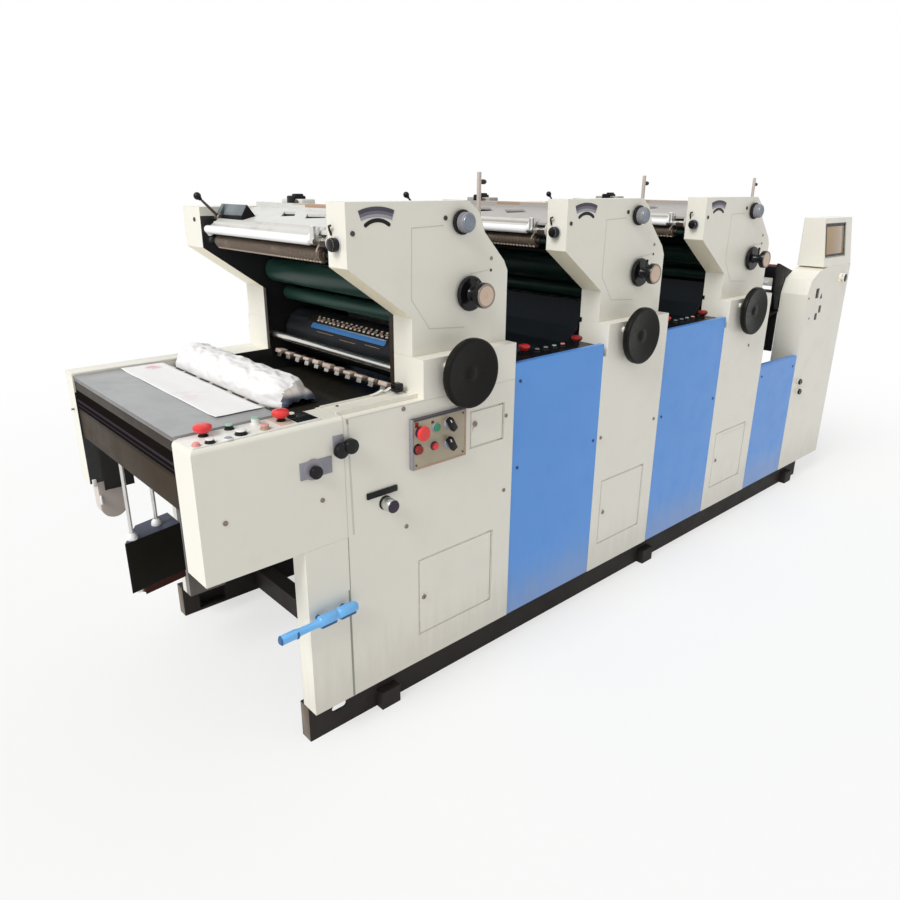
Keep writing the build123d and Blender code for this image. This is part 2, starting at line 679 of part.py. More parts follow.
def top_deck(unit):
    """The sheet-metal deck over the rollers, its skirt down the back and the crossbar on it."""
    inset = DECK_INSET
    upper = [DECK_START, DECK_BEND, (DECK_END, DECK_BEND[1])]
    upper += [(HOUSING_SHOULDER[0] - inset, HOUSING_SHOULDER[1] - inset)]
    upper += [(HOUSING_BACK_KNEE[0] - inset, HOUSING_BACK_KNEE[1] - inset)]
    upper += [(HOUSING_BACK - inset, DECK_SKIRT_END)]
    lower = [(x - (DECK_THICK if x > DECK_END else 0), z - DECK_THICK) for x, z in reversed(upper)]
    lower[0] = (upper[-1][0] - DECK_THICK, DECK_SKIRT_END)
    deck = profile(placed(unit, upper + lower), INNER)
    notch_x = (unit_x(unit, DECK_START[0]) - 1, unit_x(unit, LEVER_PIVOT[0] + DECK_NOTCH))
    notch_y = (INNER_FAR - DUCT_FAR_GAP, INNER_FAR)
    deck -= block(notch_x, notch_y, (DECK_START[1] - 2 * DECK_THICK, DECK_BEND[1]))
    for corners in DECK_SLOTS:
        deck -= plan(placed(unit, corners), (DECK_START[1], DECK_BEND[1]))
    flange_x = (notch_x[0], unit_x(unit, DUCT_FLANGE[0] + DUCT_FLANGE[2]))
    flange_y = (INNER_NEAR, INNER_NEAR + DUCT_FLANGE_THICK + PIN_GAP)
    deck -= block(flange_x, flange_y, (DECK_START[1] - 2 * DECK_THICK, DECK_BEND[1]))
    post_x = unit_x(unit, POST_X)
    half = POST_WIDTH / 2 + PIN_GAP
    deck -= block((post_x - half, post_x + half), (INNER_NEAR, INNER_NEAR + POST_WIDTH + PIN_GAP), POST_Z)
    bar_x = (unit_x(unit, CROSSBAR_X[0]), unit_x(unit, CROSSBAR_X[1]))
    return deck + block(bar_x, INNER, (DECK_BEND[1] - 1, DECK_BEND[1] + CROSSBAR_HEIGHT))


def deck_fittings(unit):
    """The lever's box in three parts, the duct motor and the post with its small knob."""
    front = DRIVE_BOX_X[0]
    back = DRIVE_BOX_X[1]
    step = (front + 1, deck_height(front) + DRIVE_BOX_STEP)
    outline = placed(unit, [(front, deck_height(front)), step, DRIVE_BOX_CREST, (back, deck_height(back))])
    near_box = profile(outline, (DRIVE_BOX_NEAR, INNER_FAR - DUCT_FAR_GAP))
    far_box = profile(outline, (INNER_FAR - DRIVE_BOX_FAR, INNER_FAR))
    lever_x, lever_z = LEVER_PIVOT
    far_box -= rod(unit_x(unit, lever_x), lever_z, SPINDLE_RADIUS + PIN_GAP, (LEVER_Y, INNER_FAR))
    rear = lever_x + LEVER_HUB_RADIUS + MOVE_GAP + 1
    low = deck_height(back)
    ridge = [(rear, low), (rear, DRIVE_BOX_CREST[1] - 1), DRIVE_BOX_CREST, (back, low)]
    bridge = profile(placed(unit, ridge), (INNER_FAR - DUCT_FAR_GAP, INNER_FAR - DRIVE_BOX_FAR))
    base = DECK_BEND[1]
    motor_x = (unit_x(unit, MOTOR_X[0]), unit_x(unit, MOTOR_X[1]))
    motor = block(motor_x, MOTOR_Y, (base, base + MOTOR_HEIGHT))
    cap_x = (motor_x[0] - MOVE_GAP, motor_x[1] - MOVE_GAP)
    motor += block(cap_x, MOTOR_CAP_Y, (base + MOVE_GAP, base + MOTOR_CAP_HEIGHT))
    x = unit_x(unit, POST_X)
    half = POST_WIDTH / 2
    y = (INNER_NEAR, INNER_NEAR + POST_WIDTH)
    upright = block((x - half, x + half), y, POST_Z)
    knob_z = POST_Z[1] - POST_KNOB_DROP
    knob = Pos(x + half + POST_KNOB_LENGTH / 2, sum(y) / 2, knob_z) * Rot(0, 90, 0)
    upright += knob * Cylinder(POST_KNOB_RADIUS, POST_KNOB_LENGTH)
    return [near_box, bridge, far_box, motor, upright]


# Between the units
def transfer_hood(unit):
    """The dark curved guard that leads from one unit up into the next."""
    start = unit_x(unit, HOUSING_BACK) + HOOD_START
    places = (start, unit_x(unit + 1, HOOD_EDGE), unit_x(unit + 1, HOOD_BEND), unit_x(unit + 1, HOOD_END))
    outer = list(zip(places, HOOD_Z))
    inner = [(x - HOOD_THICK / 2, z + HOOD_THICK) for x, z in reversed(outer)]
    return profile(outer + inner, INNER)


def stop_button(x, y, z):
    """A mushroom stop button that stands on a plate at height z."""
    stem_radius, stem_height = STOP_STEM
    head_radius, head_height = STOP_HEAD
    stem = post(x, y, stem_radius, (z, z + stem_height))
    return stem + post(x, y, head_radius, (z + stem_height, z + stem_height + head_height))


def button_tray(unit):
    """The black strip of buttons behind the top of a blue panel."""
    x = (unit_x(unit, HOUSING_BACK) + TRAY_ENDS[0], unit_x(unit + 1, COVER_FRONT) - TRAY_ENDS[1])
    top = BLUE_TOP - TRAY_DROP[1]
    tray = block(x, (PANEL_INSET + PANEL_THICK, INNER_NEAR), (BLUE_TOP - TRAY_DROP[0], top))
    stop_x = x[0] + STOP_INSET
    tray += stop_button(stop_x, BUTTON_Y, top)
    for i in range(BUTTON_COUNT):
        button_x = stop_x + BUTTON_STEP * (i + 1)
        tray += post(button_x, BUTTON_Y, BUTTON_RADIUS, (top, top + BUTTON_HEIGHT))
    return tray + stop_button(x[1] - STOP_INSET, BUTTON_Y, top)


# Delivery
def delivery_near():
    """The operator's delivery side box with rounded edges."""
    body = block((DELIVERY_END, FIRST_COVER_FRONT), (0, NEAR_BOX_DEPTH), BOX_Z)
    top_front = body.edges().filter_by(Axis.X).group_by(Axis.Z)[-1].sort_by(Axis.Y)[0]
    end_edge = body.edges().filter_by(Axis.Y).group_by(Axis.Z)[-1].sort_by(Axis.X)[0]
    return fillet([top_front, end_edge], BOX_EDGE)


def delivery_far():
    """The drive-side delivery box."""
    return block((DELIVERY_END, FIRST_COVER_FRONT), FAR_BOX, (BOX_Z[0], BOX_Z[1] + FAR_BOX_RISE))


def delivery_table():
    """The grey sheet-metal table between the side boxes."""
    x = (DELIVERY_END + TABLE_INSET, TABLE_BACK)
    return block(x, TABLE_Y, (TABLE_TOP - TABLE_THICK, TABLE_TOP))


def delivery_fascia():
    """The end plate below the table with two long recesses."""
    x = (DELIVERY_END + FASCIA_INSET, DELIVERY_END + FASCIA_INSET + FASCIA_THICK)
    y = (TABLE_Y[0] + FASCIA_MARGIN, TABLE_Y[1] - 2 * FASCIA_MARGIN)
    depth = (x[0], x[0] + RECESS_DEPTH)
    plate = block(x, TABLE_Y, (FASCIA_Z, TABLE_TOP - TABLE_THICK))
    plate -= block(depth, y, LONG_RECESS)
    return plate - block(depth, (y[0], y[0] + SHORT_RECESS_LENGTH), SHORT_RECESS)


def chain_cover():
    """The plate over the delivery chains and the pan that runs on under the grippers."""
    top = CHAIN_COVER_TOP
    thick = CHAIN_COVER_THICK
    front = block((CHAIN_COVER[0], FIRST_COVER_FRONT), TABLE_Y, (top - thick, top))
    upper = [(FIRST_COVER_FRONT, top), (CHAIN_COVER[1], top)] + list(CHAIN_PAN)
    lower = [(x, z - thick) for x, z in reversed(upper)]
    return front + profile(upper + lower, INNER)


def paper_wrap():
    """Paper bundled over the delivery roller, as one closed rounded form."""
    low = CHAIN_COVER_TOP + PIN_GAP
    middle = (sum(WRAP_X) / 2, low + WRAP_HEIGHT)
    arch = ThreePointArc((WRAP_X[0], low), middle, (WRAP_X[1], low))
    outline = make_face(arch + Line((WRAP_X[1], low), (WRAP_X[0], low)))
    return extrude(Plane.XZ.offset(-PAPER_Y[0]) * outline, PAPER_Y[0] - PAPER_Y[1])


def printed_sheet():
    """A loose sheet lying on the table."""
    z = TABLE_TOP + PIN_GAP
    return block(SHEET_X, PAPER_Y, (z, z + SHEET_THICK))


def delivery_leg(span):
    """The upright that carries the delivery box."""
    return block((0, FIRST_COVER_FRONT), span, (BASE_HEIGHT, BOX_Z[0]))


def guide_rods():
    """Two upright rods hung below the delivery table, with stop collars at their lower ends."""
    beam_z = (FASCIA_Z, FASCIA_Z + HANGER_HEIGHT)
    start = DELIVERY_END + FASCIA_INSET + FASCIA_THICK
    hanger = block((HANGER_END - HANGER_WIDTH, HANGER_END), TABLE_Y, beam_z)
    stop_top = CARRIAGE_Z[0] - PIN_GAP
    for x, y in ROD_PLACES:
        hanger += block((start, HANGER_END), (y - HANGER_WIDTH / 2, y + HANGER_WIDTH / 2), beam_z)
        hanger += post(x, y, ROD_RADIUS, (stop_top - COLLAR_HEIGHT, beam_z[1]))
        hanger += post(x, y, ROD_COLLAR_RADIUS, (stop_top - COLLAR_HEIGHT, stop_top))
    return hanger


def pile_carriage():
    """The carriage that runs on the guide rods, with a narrower skid below it."""
    body = plan(CARRIAGE_PLAN, CARRIAGE_Z)
    body += plan(SKID_PLAN, (CARRIAGE_Z[0] - SKID_DROP, CARRIAGE_Z[0]))
    for x, y in ROD_PLACES:
        body -= post(x, y, ROD_RADIUS + PIN_GAP, CARRIAGE_Z)
        body -= post(x, y, ROD_COLLAR_RADIUS + MOVE_GAP, (CARRIAGE_Z[0] - SKID_DROP, CARRIAGE_Z[0]))
    return body


def round_guard():
    """The half-round guard below the drive-side box and the dark plate beside it."""
    low = BOX_Z[0] - GUARD_DROP
    y = (FAR_BOX[0] + GUARD_INSET, FAR_BOX[1] - GUARD_INSET)
    span = (GUARD_X - GUARD_RADIUS, GUARD_X + GUARD_RADIUS)
    disc = rod(GUARD_X, low, GUARD_RADIUS, y) - block(span, y, (low, low + GUARD_RADIUS))
    guard = disc + block(span, y, (low, BOX_Z[0]))
    plate_y = (FAR_BOX[0] - GUARD_PLATE_THICK, FAR_BOX[0])
    plate_z = (BOX_Z[0] - GUARD_PLATE_DROP, TABLE_TOP - TABLE_THICK)
    return [guard, block(GUARD_PLATE_X, plate_y, plate_z)]


def gripper_row():
    """The delivery gripper bar with its hooked fingers, and the bright bar above it."""
    x, z = GRIPPER_BAR
    radius = GRIPPER_BAR_RADIUS
    bar = rod(x, z, radius, INNER)
    tip = x - FINGER_LENGTH
    upper = [(tip, z), (tip + radius / 2, z + FINGER_RISE), (x - radius, z + FINGER_RISE)]
    outline = upper + [(x + radius / 2, z), (x, z - radius / 2), (tip + radius, z + radius)]
    step = (INNER_FAR - INNER_NEAR) / FINGER_COUNT
    for i in range(FINGER_COUNT):
        start = INNER_NEAR + i * step + (step - FINGER_WIDTH) / 2
        bar += profile(outline, (start, start + FINGER_WIDTH))
    return [bar, rod(SHEET_BAR[0], SHEET_BAR[1], SHEET_BAR_RADIUS, INNER)]


# Operator's controls
def control_box():
    """The push-button box on the first cover."""
    front = -CONTROL_BOX_DEPTH
    box = block(CONTROL_BOX_X, (front, 0), CONTROL_BOX_Z)
    x, z, radius, reach = STOP_BUTTON
    box += rod(x, z, radius, (front - reach, front))
    for x, z in BOX_BUTTONS:
        box += rod(x, z, BOX_BUTTON_RADIUS, (front - BOX_BUTTON_REACH, front))
    return box


def air_controls():
    """The metal air knob on the first cover and the black bar above it."""
    x, z, radius, reach = AIR_KNOB
    neck = rod(x, z, radius / 2, (-reach / 4, 0))
    knob = neck + rod(x, z, radius, (-reach, -reach / 4))
    return [knob, block(AIR_BAR_X, (-AIR_BAR_DEPTH, 0), AIR_BAR_Z)]


def delivery_controls():
    """The buttons on top of the operator's delivery box."""
    x0, x1, y0, y1 = CONTROL_PLATE
    top = BOX_Z[1] + CONTROL_PLATE_THICK
    plate = block((x0, x1), (y0, y1), (BOX_Z[1], top))
    for x, y in STOP_PLACES:
        plate += stop_button(x, y, top)
    for x, y in PUSH_PLACES:
        plate += post(x, y, PUSH_RADIUS, (top, top + PUSH_HEIGHT))
    return plate


def side_knobs():
    """The two small plates with black knobs on the outer face of the delivery box."""
    plates = []
    for plate, knob in ((KNOB_PLATE, SIDE_KNOB), (PAIR_PLATE, PAIR_KNOB)):
        x0, x1, z0, z1 = plate
        x, z, radius, reach = knob
        body = block((x0, x1), (-SIDE_PLATE_THICK, 0), (z0, z1))
        plates.append(body + rod(x, z, radius, (-reach, 0)))
    x, z, radius, reach = PAIR_REAR_KNOB
    plates[1] += rod(x, z, radius, (-reach, 0))
    return plates


def step_bar():
    """The light blue foot bar: a thin arm with a knuckle at one end and two pads at the other."""
    bar = block(STEP_ARM_X, STEP_Y, STEP_ARM_Z)
    bar += block(STEP_KNUCKLE_X, (STEP_Y[0] - STEP_PAD_DEPTH / 2, STEP_Y[1]), STEP_KNUCKLE_Z)
    for x in STEP_PADS:
        bar += block(x, (STEP_Y[0] - STEP_PAD_DEPTH, STEP_Y[1]), STEP_PAD_Z)
    for x in STEP_FEET:
        bar += block((x, x + STEP_FOOT_LENGTH), (STEP_Y[1], 0), STEP_ARM_Z)
    return bar


# Feeder
def feeder_side(span):
    """One feeder side with its sloped front shoulder."""
    shoulder = [(FEEDER_FRONT + x, FEEDER_TOP - drop) for x, drop in SHOULDER]
    points = [(FEEDER_FRONT, BASE_HEIGHT)] + shoulder
    points += [(FEEDER_END, FEEDER_TOP), (FEEDER_END, BASE_HEIGHT)]
    return profile(points, span)


def feeder_operator_side():
    """The operator's feeder side with its three knobs."""
    body = feeder_side((0, SIDE_DEPTH))
    for x, z, radius, reach in FEEDER_KNOBS:
        body += rod(x, z, radius, (-reach, 0))
    return body


def lean_at(z):
    """How far the front of the console leans back at a height."""
    return CONSOLE_LEAN * (z - FEEDER_TOP) / (CONSOLE_TOP - FEEDER_TOP)


def console():
    """The operator's screen box, which leans back, with its sunk screen."""
    front = [(0, FEEDER_TOP), (CONSOLE_LEAN, CONSOLE_TOP)]
    back = [(SIDE_DEPTH, CONSOLE_TOP), (SIDE_DEPTH, FEEDER_TOP)]
    outline = make_face(Polyline(*front, *back, close=True))
    body = extrude(Plane.YZ.offset(CONSOLE_X[0]) * outline, CONSOLE_X[1] - CONSOLE_X[0])
    z0, z1 = SCREEN_Z
    outer = [(lean_at(z0) - SCREEN_DEPTH, z0), (lean_at(z1) - SCREEN_DEPTH, z1)]
    inner = [(lean_at(z1) + SCREEN_DEPTH, z1), (lean_at(z0) + SCREEN_DEPTH, z0)]
    pocket = make_face(Polyline(*outer, *inner, close=True))
    return body - extrude(Plane.YZ.offset(SCREEN_X[0]) * pocket, SCREEN_X[1] - SCREEN_X[0])


def feeder_head():
    """The suction head with its drum and suckers, carried by an arm on each feeder side."""
    head = block(HEAD_X, INNER, HEAD_Z)
    head += block(HEAD_RAIL_X, INNER, HEAD_RAIL_Z)
    head += rod(*HEAD_DRUM, INNER)
    head += rod(*HEAD_BAR, INNER)
    for span in ((INNER_NEAR, INNER_NEAR + ARM_THICK), (INNER_FAR - ARM_THICK, INNER_FAR)):
        head += profile([*ARM_POINTS, ARM_TAIL], span)
    carrier_z = (SUCKER_Z[1] - MOVE_GAP, HEAD_RAIL_Z[1])
    head += block((HEAD_RAIL_X[1], SUCKER_X + SUCKER_RADIUS), INNER, carrier_z)
    step = (INNER_FAR - INNER_NEAR - 2 * SUCKER_MARGIN) / (SUCKER_COUNT - 1)
    for i in range(SUCKER_COUNT):
        head += post(SUCKER_X, INNER_NEAR + SUCKER_MARGIN + i * step, SUCKER_RADIUS, SUCKER_Z)
    return head


def feed_board():
    """The sloping board that leads the sheets into the last unit."""
    start = unit_x(UNIT_COUNT - 1, HOUSING_BACK) + BOARD_GAP
    upper = [(start, BOARD_Z[0]), (FEEDER_FRONT + BOARD_OVERLAP, BOARD_Z[1])]
    return profile(upper + [(x, z - BOARD_THICK) for x, z in reversed(upper)], INNER)


def feeder_pile():
    """The feeder's pile board and the two cross rails that carry it."""
    rail_low, board_low, board_top = PILE_Z
    side = (INNER_NEAR + PILE_SIDE_GAP, INNER_FAR - PILE_SIDE_GAP)
    board = block(PILE_X, side, (board_low, board_top))
    for x in (PILE_X[0] + PILE_RAIL_INSET, PILE_X[1] - PILE_RAIL_INSET - PILE_RAIL_WIDTH):
        board += block((x, x + PILE_RAIL_WIDTH), INNER, (rail_low, board_low))
    return board


def main():
    os.makedirs("parts", exist_ok=True)
    units = range(UNIT_COUNT)
    gaps = range(UNIT_COUNT - 1)
    near = (0, SIDE_DEPTH)
    beam_span = (BEAM_INSET, BEAM_INSET + BEAM_WIDTH)
    panel = (PANEL_INSET, PANEL_INSET + PANEL_THICK)
    pocket = (beam_span[0] + SLOT_WEB, beam_span[1])
    put("base_beams", beam(beam_span, pocket), beam(far(beam_span), far(pocket)))
    put("cross_members", *cross_members())
    put("floor_lugs", *feet())
    for unit in units:
        n = unit + 1
        put(f"operator_cover_{n}", cover(unit, near, True))
        put(f"blanket_cylinder_{n}", blanket_cylinder(unit))
        put(f"handwheel_{n}", handwheel(unit))
        put(f"upper_form_roller_{n}", roller(unit, UPPER_ROLLER))
        put(f"lower_form_roller_{n}", roller(unit, LOWER_ROLLER))
        put(f"ink_knob_{n}", ink_knob(unit))
        put(f"register_knob_{n}", register_knob(unit))
        put(f"throw_lever_{n}", throw_lever(unit))
        put(f"access_door_{n}", door(unit, door_sizes(unit)[0]))
    put("control_door", door(0, SMALL_DOOR))
    put("drive_covers", *[cover(unit, far(near), False) for unit in units])
    put("operator_housings", *[operator_housing(unit) for unit in units])
    put("drive_housings", *[drive_housing(unit) for unit in units])
    put("ink_ducts", *[ink_duct(unit) for unit in units])
    put("top_decks", *[top_deck(unit) for unit in units])
    put("deck_fittings", *[piece for unit in units for piece in deck_fittings(unit)])
    inner = (PLATE_CYLINDER, DISTRIBUTOR, RIDER, REAR_ROLLER, FOUNTAIN_ROLLER)
    put("inner_rollers", *[roller(unit, place) for unit in units for place in inner])
    put("blue_panels", *blue_panels(panel), *blue_panels(far(panel)))
    put("transfer_hoods", *[transfer_hood(gap) for gap in gaps])
    put("button_trays", *[button_tray(gap) for gap in gaps])
    put("delivery_boxes", delivery_near(), delivery_far())
    put("delivery_table", delivery_table())
    put("delivery_fascia", delivery_fascia())
    put("chain_cover", chain_cover())
    put("paper_wrap", paper_wrap())
    put("printed_sheet", printed_sheet())
    put("delivery_legs", delivery_leg((0, LEG_DEPTH)), delivery_leg(FAR_BOX))
    put("guide_rods", guide_rods())
    put("round_guard", *round_guard())
    put("pile_carriage", pile_carriage())
    put("gripper_row", *gripper_row())
    put("control_box", control_box(), *air_controls())
    put("delivery_controls", delivery_controls(), *side_knobs())
    put("step_bar", step_bar())
    put("feeder_sides", feeder_operator_side(), feeder_side(far(near)))
    put("feeder_console", console())
    put("feeder_head", feeder_head())
    put("feed_board", feed_board())
    put("feeder_pile", feeder_pile())


main()
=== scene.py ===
import json
import math

import bmesh
import bpy
from mathutils import Matrix, Vector, noise


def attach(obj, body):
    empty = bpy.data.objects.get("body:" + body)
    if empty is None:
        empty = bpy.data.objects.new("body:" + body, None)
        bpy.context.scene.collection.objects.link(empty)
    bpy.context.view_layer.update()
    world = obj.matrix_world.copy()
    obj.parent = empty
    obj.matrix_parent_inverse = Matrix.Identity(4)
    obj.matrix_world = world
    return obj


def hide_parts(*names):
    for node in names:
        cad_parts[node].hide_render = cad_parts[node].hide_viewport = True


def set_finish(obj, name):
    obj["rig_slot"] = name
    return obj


# Looks of a small three-unit offset printing press.
# Shapes are written in the press's own millimetres: x from the delivery end of the base, y from the
# outer face of the operator's panels and z from the floor. Each finished mesh is then moved by
# ROW_ORIGIN and brought to metres, into the row frame.

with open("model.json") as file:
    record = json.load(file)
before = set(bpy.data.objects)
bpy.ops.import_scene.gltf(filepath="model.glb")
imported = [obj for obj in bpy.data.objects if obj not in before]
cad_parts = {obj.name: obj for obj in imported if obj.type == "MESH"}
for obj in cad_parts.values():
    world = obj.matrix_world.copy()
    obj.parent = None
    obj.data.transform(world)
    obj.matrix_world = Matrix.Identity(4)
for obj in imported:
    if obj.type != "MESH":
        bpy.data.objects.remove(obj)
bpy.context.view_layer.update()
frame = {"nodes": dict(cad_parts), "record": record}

# Sizes shared with the solids, in millimetres
ROW_ORIGIN = Vector((1533.5, 475.0, 0.0))
MM = 0.001
UNITS = range(3)
PITCH = 846.0
INNER_NEAR, INNER_FAR = 132.0, 878.0
HOUSING_FACE = 48.0
SHAFT = (555.0, 1033.0)
INK_KNOB = (582.0, 1444.0)
REGISTER_KNOB = (615.0, 1246.0)
LEVER_PIVOT = (253.0, 1433.0)
LEVER_TIP = (183.0, 1502.0)
LEVER_Y = INNER_FAR - 34.0
FOUNTAIN_ROLLER = (232.0, 1364.0)
DECK_START = (222.0, 1424.0)
DECK_BEND = (402.0, 1466.0)
TRAY_TOP = 1016.0
BOX_TOP = 982.0
TABLE_TOP = 990.0
CHAIN_COVER_TOP = 972.0
CAP_TOP = 999.0
PANEL_FACE = 2.0
DRIVE_FACE = 1010.0
CARRIAGE_TOP = 520.0
DRUM_SKIN = 79.5
JOURNAL = 12.0
FOOT_BAR_Y = -27.0
UP = (0.0, 0.0, 1.0)
NEAR = (0.0, -1.0, 0.0)


# Mesh making
def along(unit, x):
    """Distance along the press of a place x behind the front of a unit."""
    return unit * PITCH + x


def block(x, y, z):
    """A box from three (low, high) pairs."""
    bm = bmesh.new()
    bmesh.ops.create_cube(bm, size=1.0)
    size = Vector((x[1] - x[0], y[1] - y[0], z[1] - z[0]))
    middle = Vector((sum(x) / 2, sum(y) / 2, sum(z) / 2))
    bmesh.ops.transform(bm, matrix=Matrix.Translation(middle) @ Matrix.Diagonal((*size, 1)), verts=bm.verts)
    return bm


def plate(points, y):
    """A plate whose outline lies in the x-z plane and which runs from y[0] to y[1]."""
    bm = bmesh.new()
    near = [bm.verts.new((px, y[0], pz)) for px, pz in points]
    away = [bm.verts.new((px, y[1], pz)) for px, pz in points]
    count = len(points)
    bm.faces.new(near)
    bm.faces.new(list(reversed(away)))
    for i in range(count):
        j = (i + 1) % count
        bm.faces.new((near[j], near[i], away[i], away[j]))
    bmesh.ops.recalc_face_normals(bm, faces=bm.faces)
    return bm


def frame_of(direction):
    """A direction's unit vector and two more that are square to it."""
    d = Vector(direction).normalized()
    side = d.cross(Vector(UP) if abs(d.z) < 0.9 else Vector((1, 0, 0))).normalized()
    return d, side, d.cross(side).normalized()


def turned(centre, direction, profile, steps=40):
    """A piece turned about an axis, from (radius, distance along the axis) points."""
    bm = bmesh.new()
    d, side, up = frame_of(direction)
    centre = Vector(centre)
    rings = []
    for radius, dist in profile:
        middle = centre + d * dist
        if radius < 1e-6:
            rings.append([bm.verts.new(middle)])
            continue
        ring = []
        for i in range(steps):
            a = 2 * math.pi * i / steps
            ring.append(bm.verts.new(middle + (side * math.cos(a) + up * math.sin(a)) * radius))
        rings.append(ring)
    for low, high in zip(rings, rings[1:]):
        for i in range(steps):
            j = (i + 1) % steps
            if len(low) == 1 and len(high) == 1:
                continue
            if len(low) == 1:
                bm.faces.new((low[0], high[i], high[j]))
            elif len(high) == 1:
                bm.faces.new((low[i], high[0], low[j]))
            else:
                bm.faces.new((low[i], high[i], high[j], low[j]))
    for ring in (rings[0], rings[-1]):
        if len(ring) > 1:
            bm.faces.new(ring)
    bmesh.ops.recalc_face_normals(bm, faces=bm.faces)
    return bm


def bar(start, end, radius, steps=20):
    """A round bar between two points."""
    length = (Vector(end) - Vector(start)).length
    return turned(start, Vector(end) - Vector(start), [(radius, 0), (radius, length)], steps)


def ball(centre, radius, rows=14, steps=24):
    """A ball turned about an upright axis, because create_uvsphere orders its faces anew in every run."""
    angles = [math.pi * k / rows for k in range(rows + 1)]
    return turned(centre, UP, [(radius * math.sin(a), -radius * math.cos(a)) for a in angles], steps)


def tube(points, radius, steps=12):
    """A round tube that follows points, with closed ends."""
    bm = bmesh.new()
    points = [Vector(p) for p in points]
    rings = []
    angles = [2 * math.pi * k / steps for k in range(steps)]
    side = frame_of(points[1] - points[0])[1]
    for i, p in enumerate(points):
        ahead = points[min(i + 1, len(points) - 1)] - points[max(i - 1, 0)]
        d = ahead.normalized()
        side = (side - d * side.dot(d)).normalized()
        up = d.cross(side).normalized()
        rings.append([bm.verts.new(p + (side * math.cos(a) + up * math.sin(a)) * radius) for a in angles])
    for low, high in zip(rings, rings[1:]):
        for k in range(steps):
            j = (k + 1) % steps
            bm.faces.new((low[k], high[k], high[j], low[j]))
    bm.faces.new(rings[0])
    bm.faces.new(rings[-1])
    bmesh.ops.recalc_face_normals(bm, faces=bm.faces)
    return bm


def arc_points(centre, radius, start, end, steps):
    """Points on an arc in the x-z plane, with angles in degrees from straight up towards +X."""
    made = []
    for i in range(steps + 1):
        a = math.radians(start + (end - start) * i / steps)
        made.append((centre[0] + radius * math.sin(a), centre[1] + radius * math.cos(a)))
    return made


def arc_band(centre, inner, outer, half, y, steps=20, round_ends=False):
    """A flat band bent round a centre, between two radii, with square or round ends."""
    outline = arc_points(centre, outer, -half, half, steps)
    middle = (inner + outer) / 2
    end = math.radians(half)
    tip = (centre[0] + middle * math.sin(end), centre[1] + middle * math.cos(end))
    if round_ends:
        outline += arc_points(tip, (outer - inner) / 2, half, half + 180, 8)[1:-1]
    outline += arc_points(centre, inner, half, -half, steps)
    tip = (centre[0] - middle * math.sin(end), centre[1] + middle * math.cos(end))
    if round_ends:
        outline += arc_points(tip, (outer - inner) / 2, 180 - half, 360 - half, 8)[1:-1]
    return plate(outline, y)


class Tree:
    """A geometry tree with named inputs, which ends in real mesh with one material."""

    def __init__(self, name, inputs):
        self.tree = bpy.data.node_groups.new(name, "GeometryNodeTree")
        face = self.tree.interface
        face.new_socket("Geometry", in_out="INPUT", socket_type="NodeSocketGeometry")
        for label, kind, value in [*inputs, ("Material", "Material", None)]:
            socket = face.new_socket(label, in_out="INPUT", socket_type="NodeSocket" + kind)
            if value is not None:
                socket.default_value = value
        face.new_socket("Geometry", in_out="OUTPUT", socket_type="NodeSocketGeometry")
        self.given = self.tree.nodes.new("NodeGroupInput").outputs

    def node(self, kind, links=(), **settings):
        """A node with its settings made and its inputs linked or given values."""
        n = self.tree.nodes.new(kind)
        for label, value in settings.items():
            setattr(n, label, value)
        for label, value in dict(links).items():
            if isinstance(value, bpy.types.NodeSocket):
                self.tree.links.new(value, n.inputs[label])
            else:
                n.inputs[label].default_value = value
        return n.outputs

    def sums(self, operation, a, b):
        """Adds, multiplies or otherwise joins two numbers."""
        return self.node("ShaderNodeMath", {0: a, 1: b}, operation=operation)[0]

    def end(self, instances):
        """Makes the copies real and gives them the material."""
        real = self.node("GeometryNodeRealizeInstances", {"Geometry": instances})[0]
        given = {"Geometry": real, "Material": self.given["Material"]}
        dressed = self.node("GeometryNodeSetMaterial", given)[0]
        out = self.tree.nodes.new("NodeGroupOutput")
        self.tree.links.new(dressed, out.inputs[0])
        return self

    def run(self, finish, points=(), **values):
        """The mesh that the tree makes from bare points and the given sizes."""
        seed = bpy.data.meshes.new("seed")
        seed.from_pydata([Vector(p) for p in points], [], [])
        obj = bpy.data.objects.new("seed", seed)
        bpy.context.scene.collection.objects.link(obj)
        grow = obj.modifiers.new("grow", "NODES")
        grow.node_group = self.tree
        values["Material"] = FINISH[finish]
        for item in self.tree.interface.items_tree:
            label = item.name.replace(" ", "_")
            if item.in_out == "INPUT" and label in values:
                grow[item.identifier] = values[label]
        seen = obj.evaluated_get(bpy.context.evaluated_depsgraph_get())
        made = bpy.data.meshes.new_from_object(seen)
        obj.modifiers.remove(grow)
        bpy.data.objects.remove(obj)
        return made


def screw_heads():
    """Socket screw heads on points: a short cylinder with a sunk socket."""
    t = Tree("screw heads", [("Radius", "Float", 5.0), ("Height", "Float", 2.0), ("Facing", "Vector", NEAR)])
    head = t.node("GeometryNodeMeshCylinder", {
        "Vertices": 14, "Radius": t.given["Radius"], "Depth": t.given["Height"]})
    rim = t.node("GeometryNodeExtrudeMesh", {
        "Mesh": head["Mesh"], "Selection": head["Top"], "Offset Scale": 0.0})
    socket = t.node("GeometryNodeScaleElements", {
        "Geometry": rim["Mesh"], "Selection": rim["Top"], "Scale": 0.55})[0]
    sunk = t.sums("MULTIPLY", t.given["Height"], -0.6)
    hole = t.node("GeometryNodeExtrudeMesh", {
        "Mesh": socket, "Selection": rim["Top"], "Offset Scale": sunk})
    turn = t.node("FunctionNodeAlignRotationToVector", {"Vector": t.given["Facing"]}, axis="Z")[0]
    return t.end(t.node("GeometryNodeInstanceOnPoints", {
        "Points": t.given["Geometry"], "Instance": hole["Mesh"], "Rotation": turn})[0])


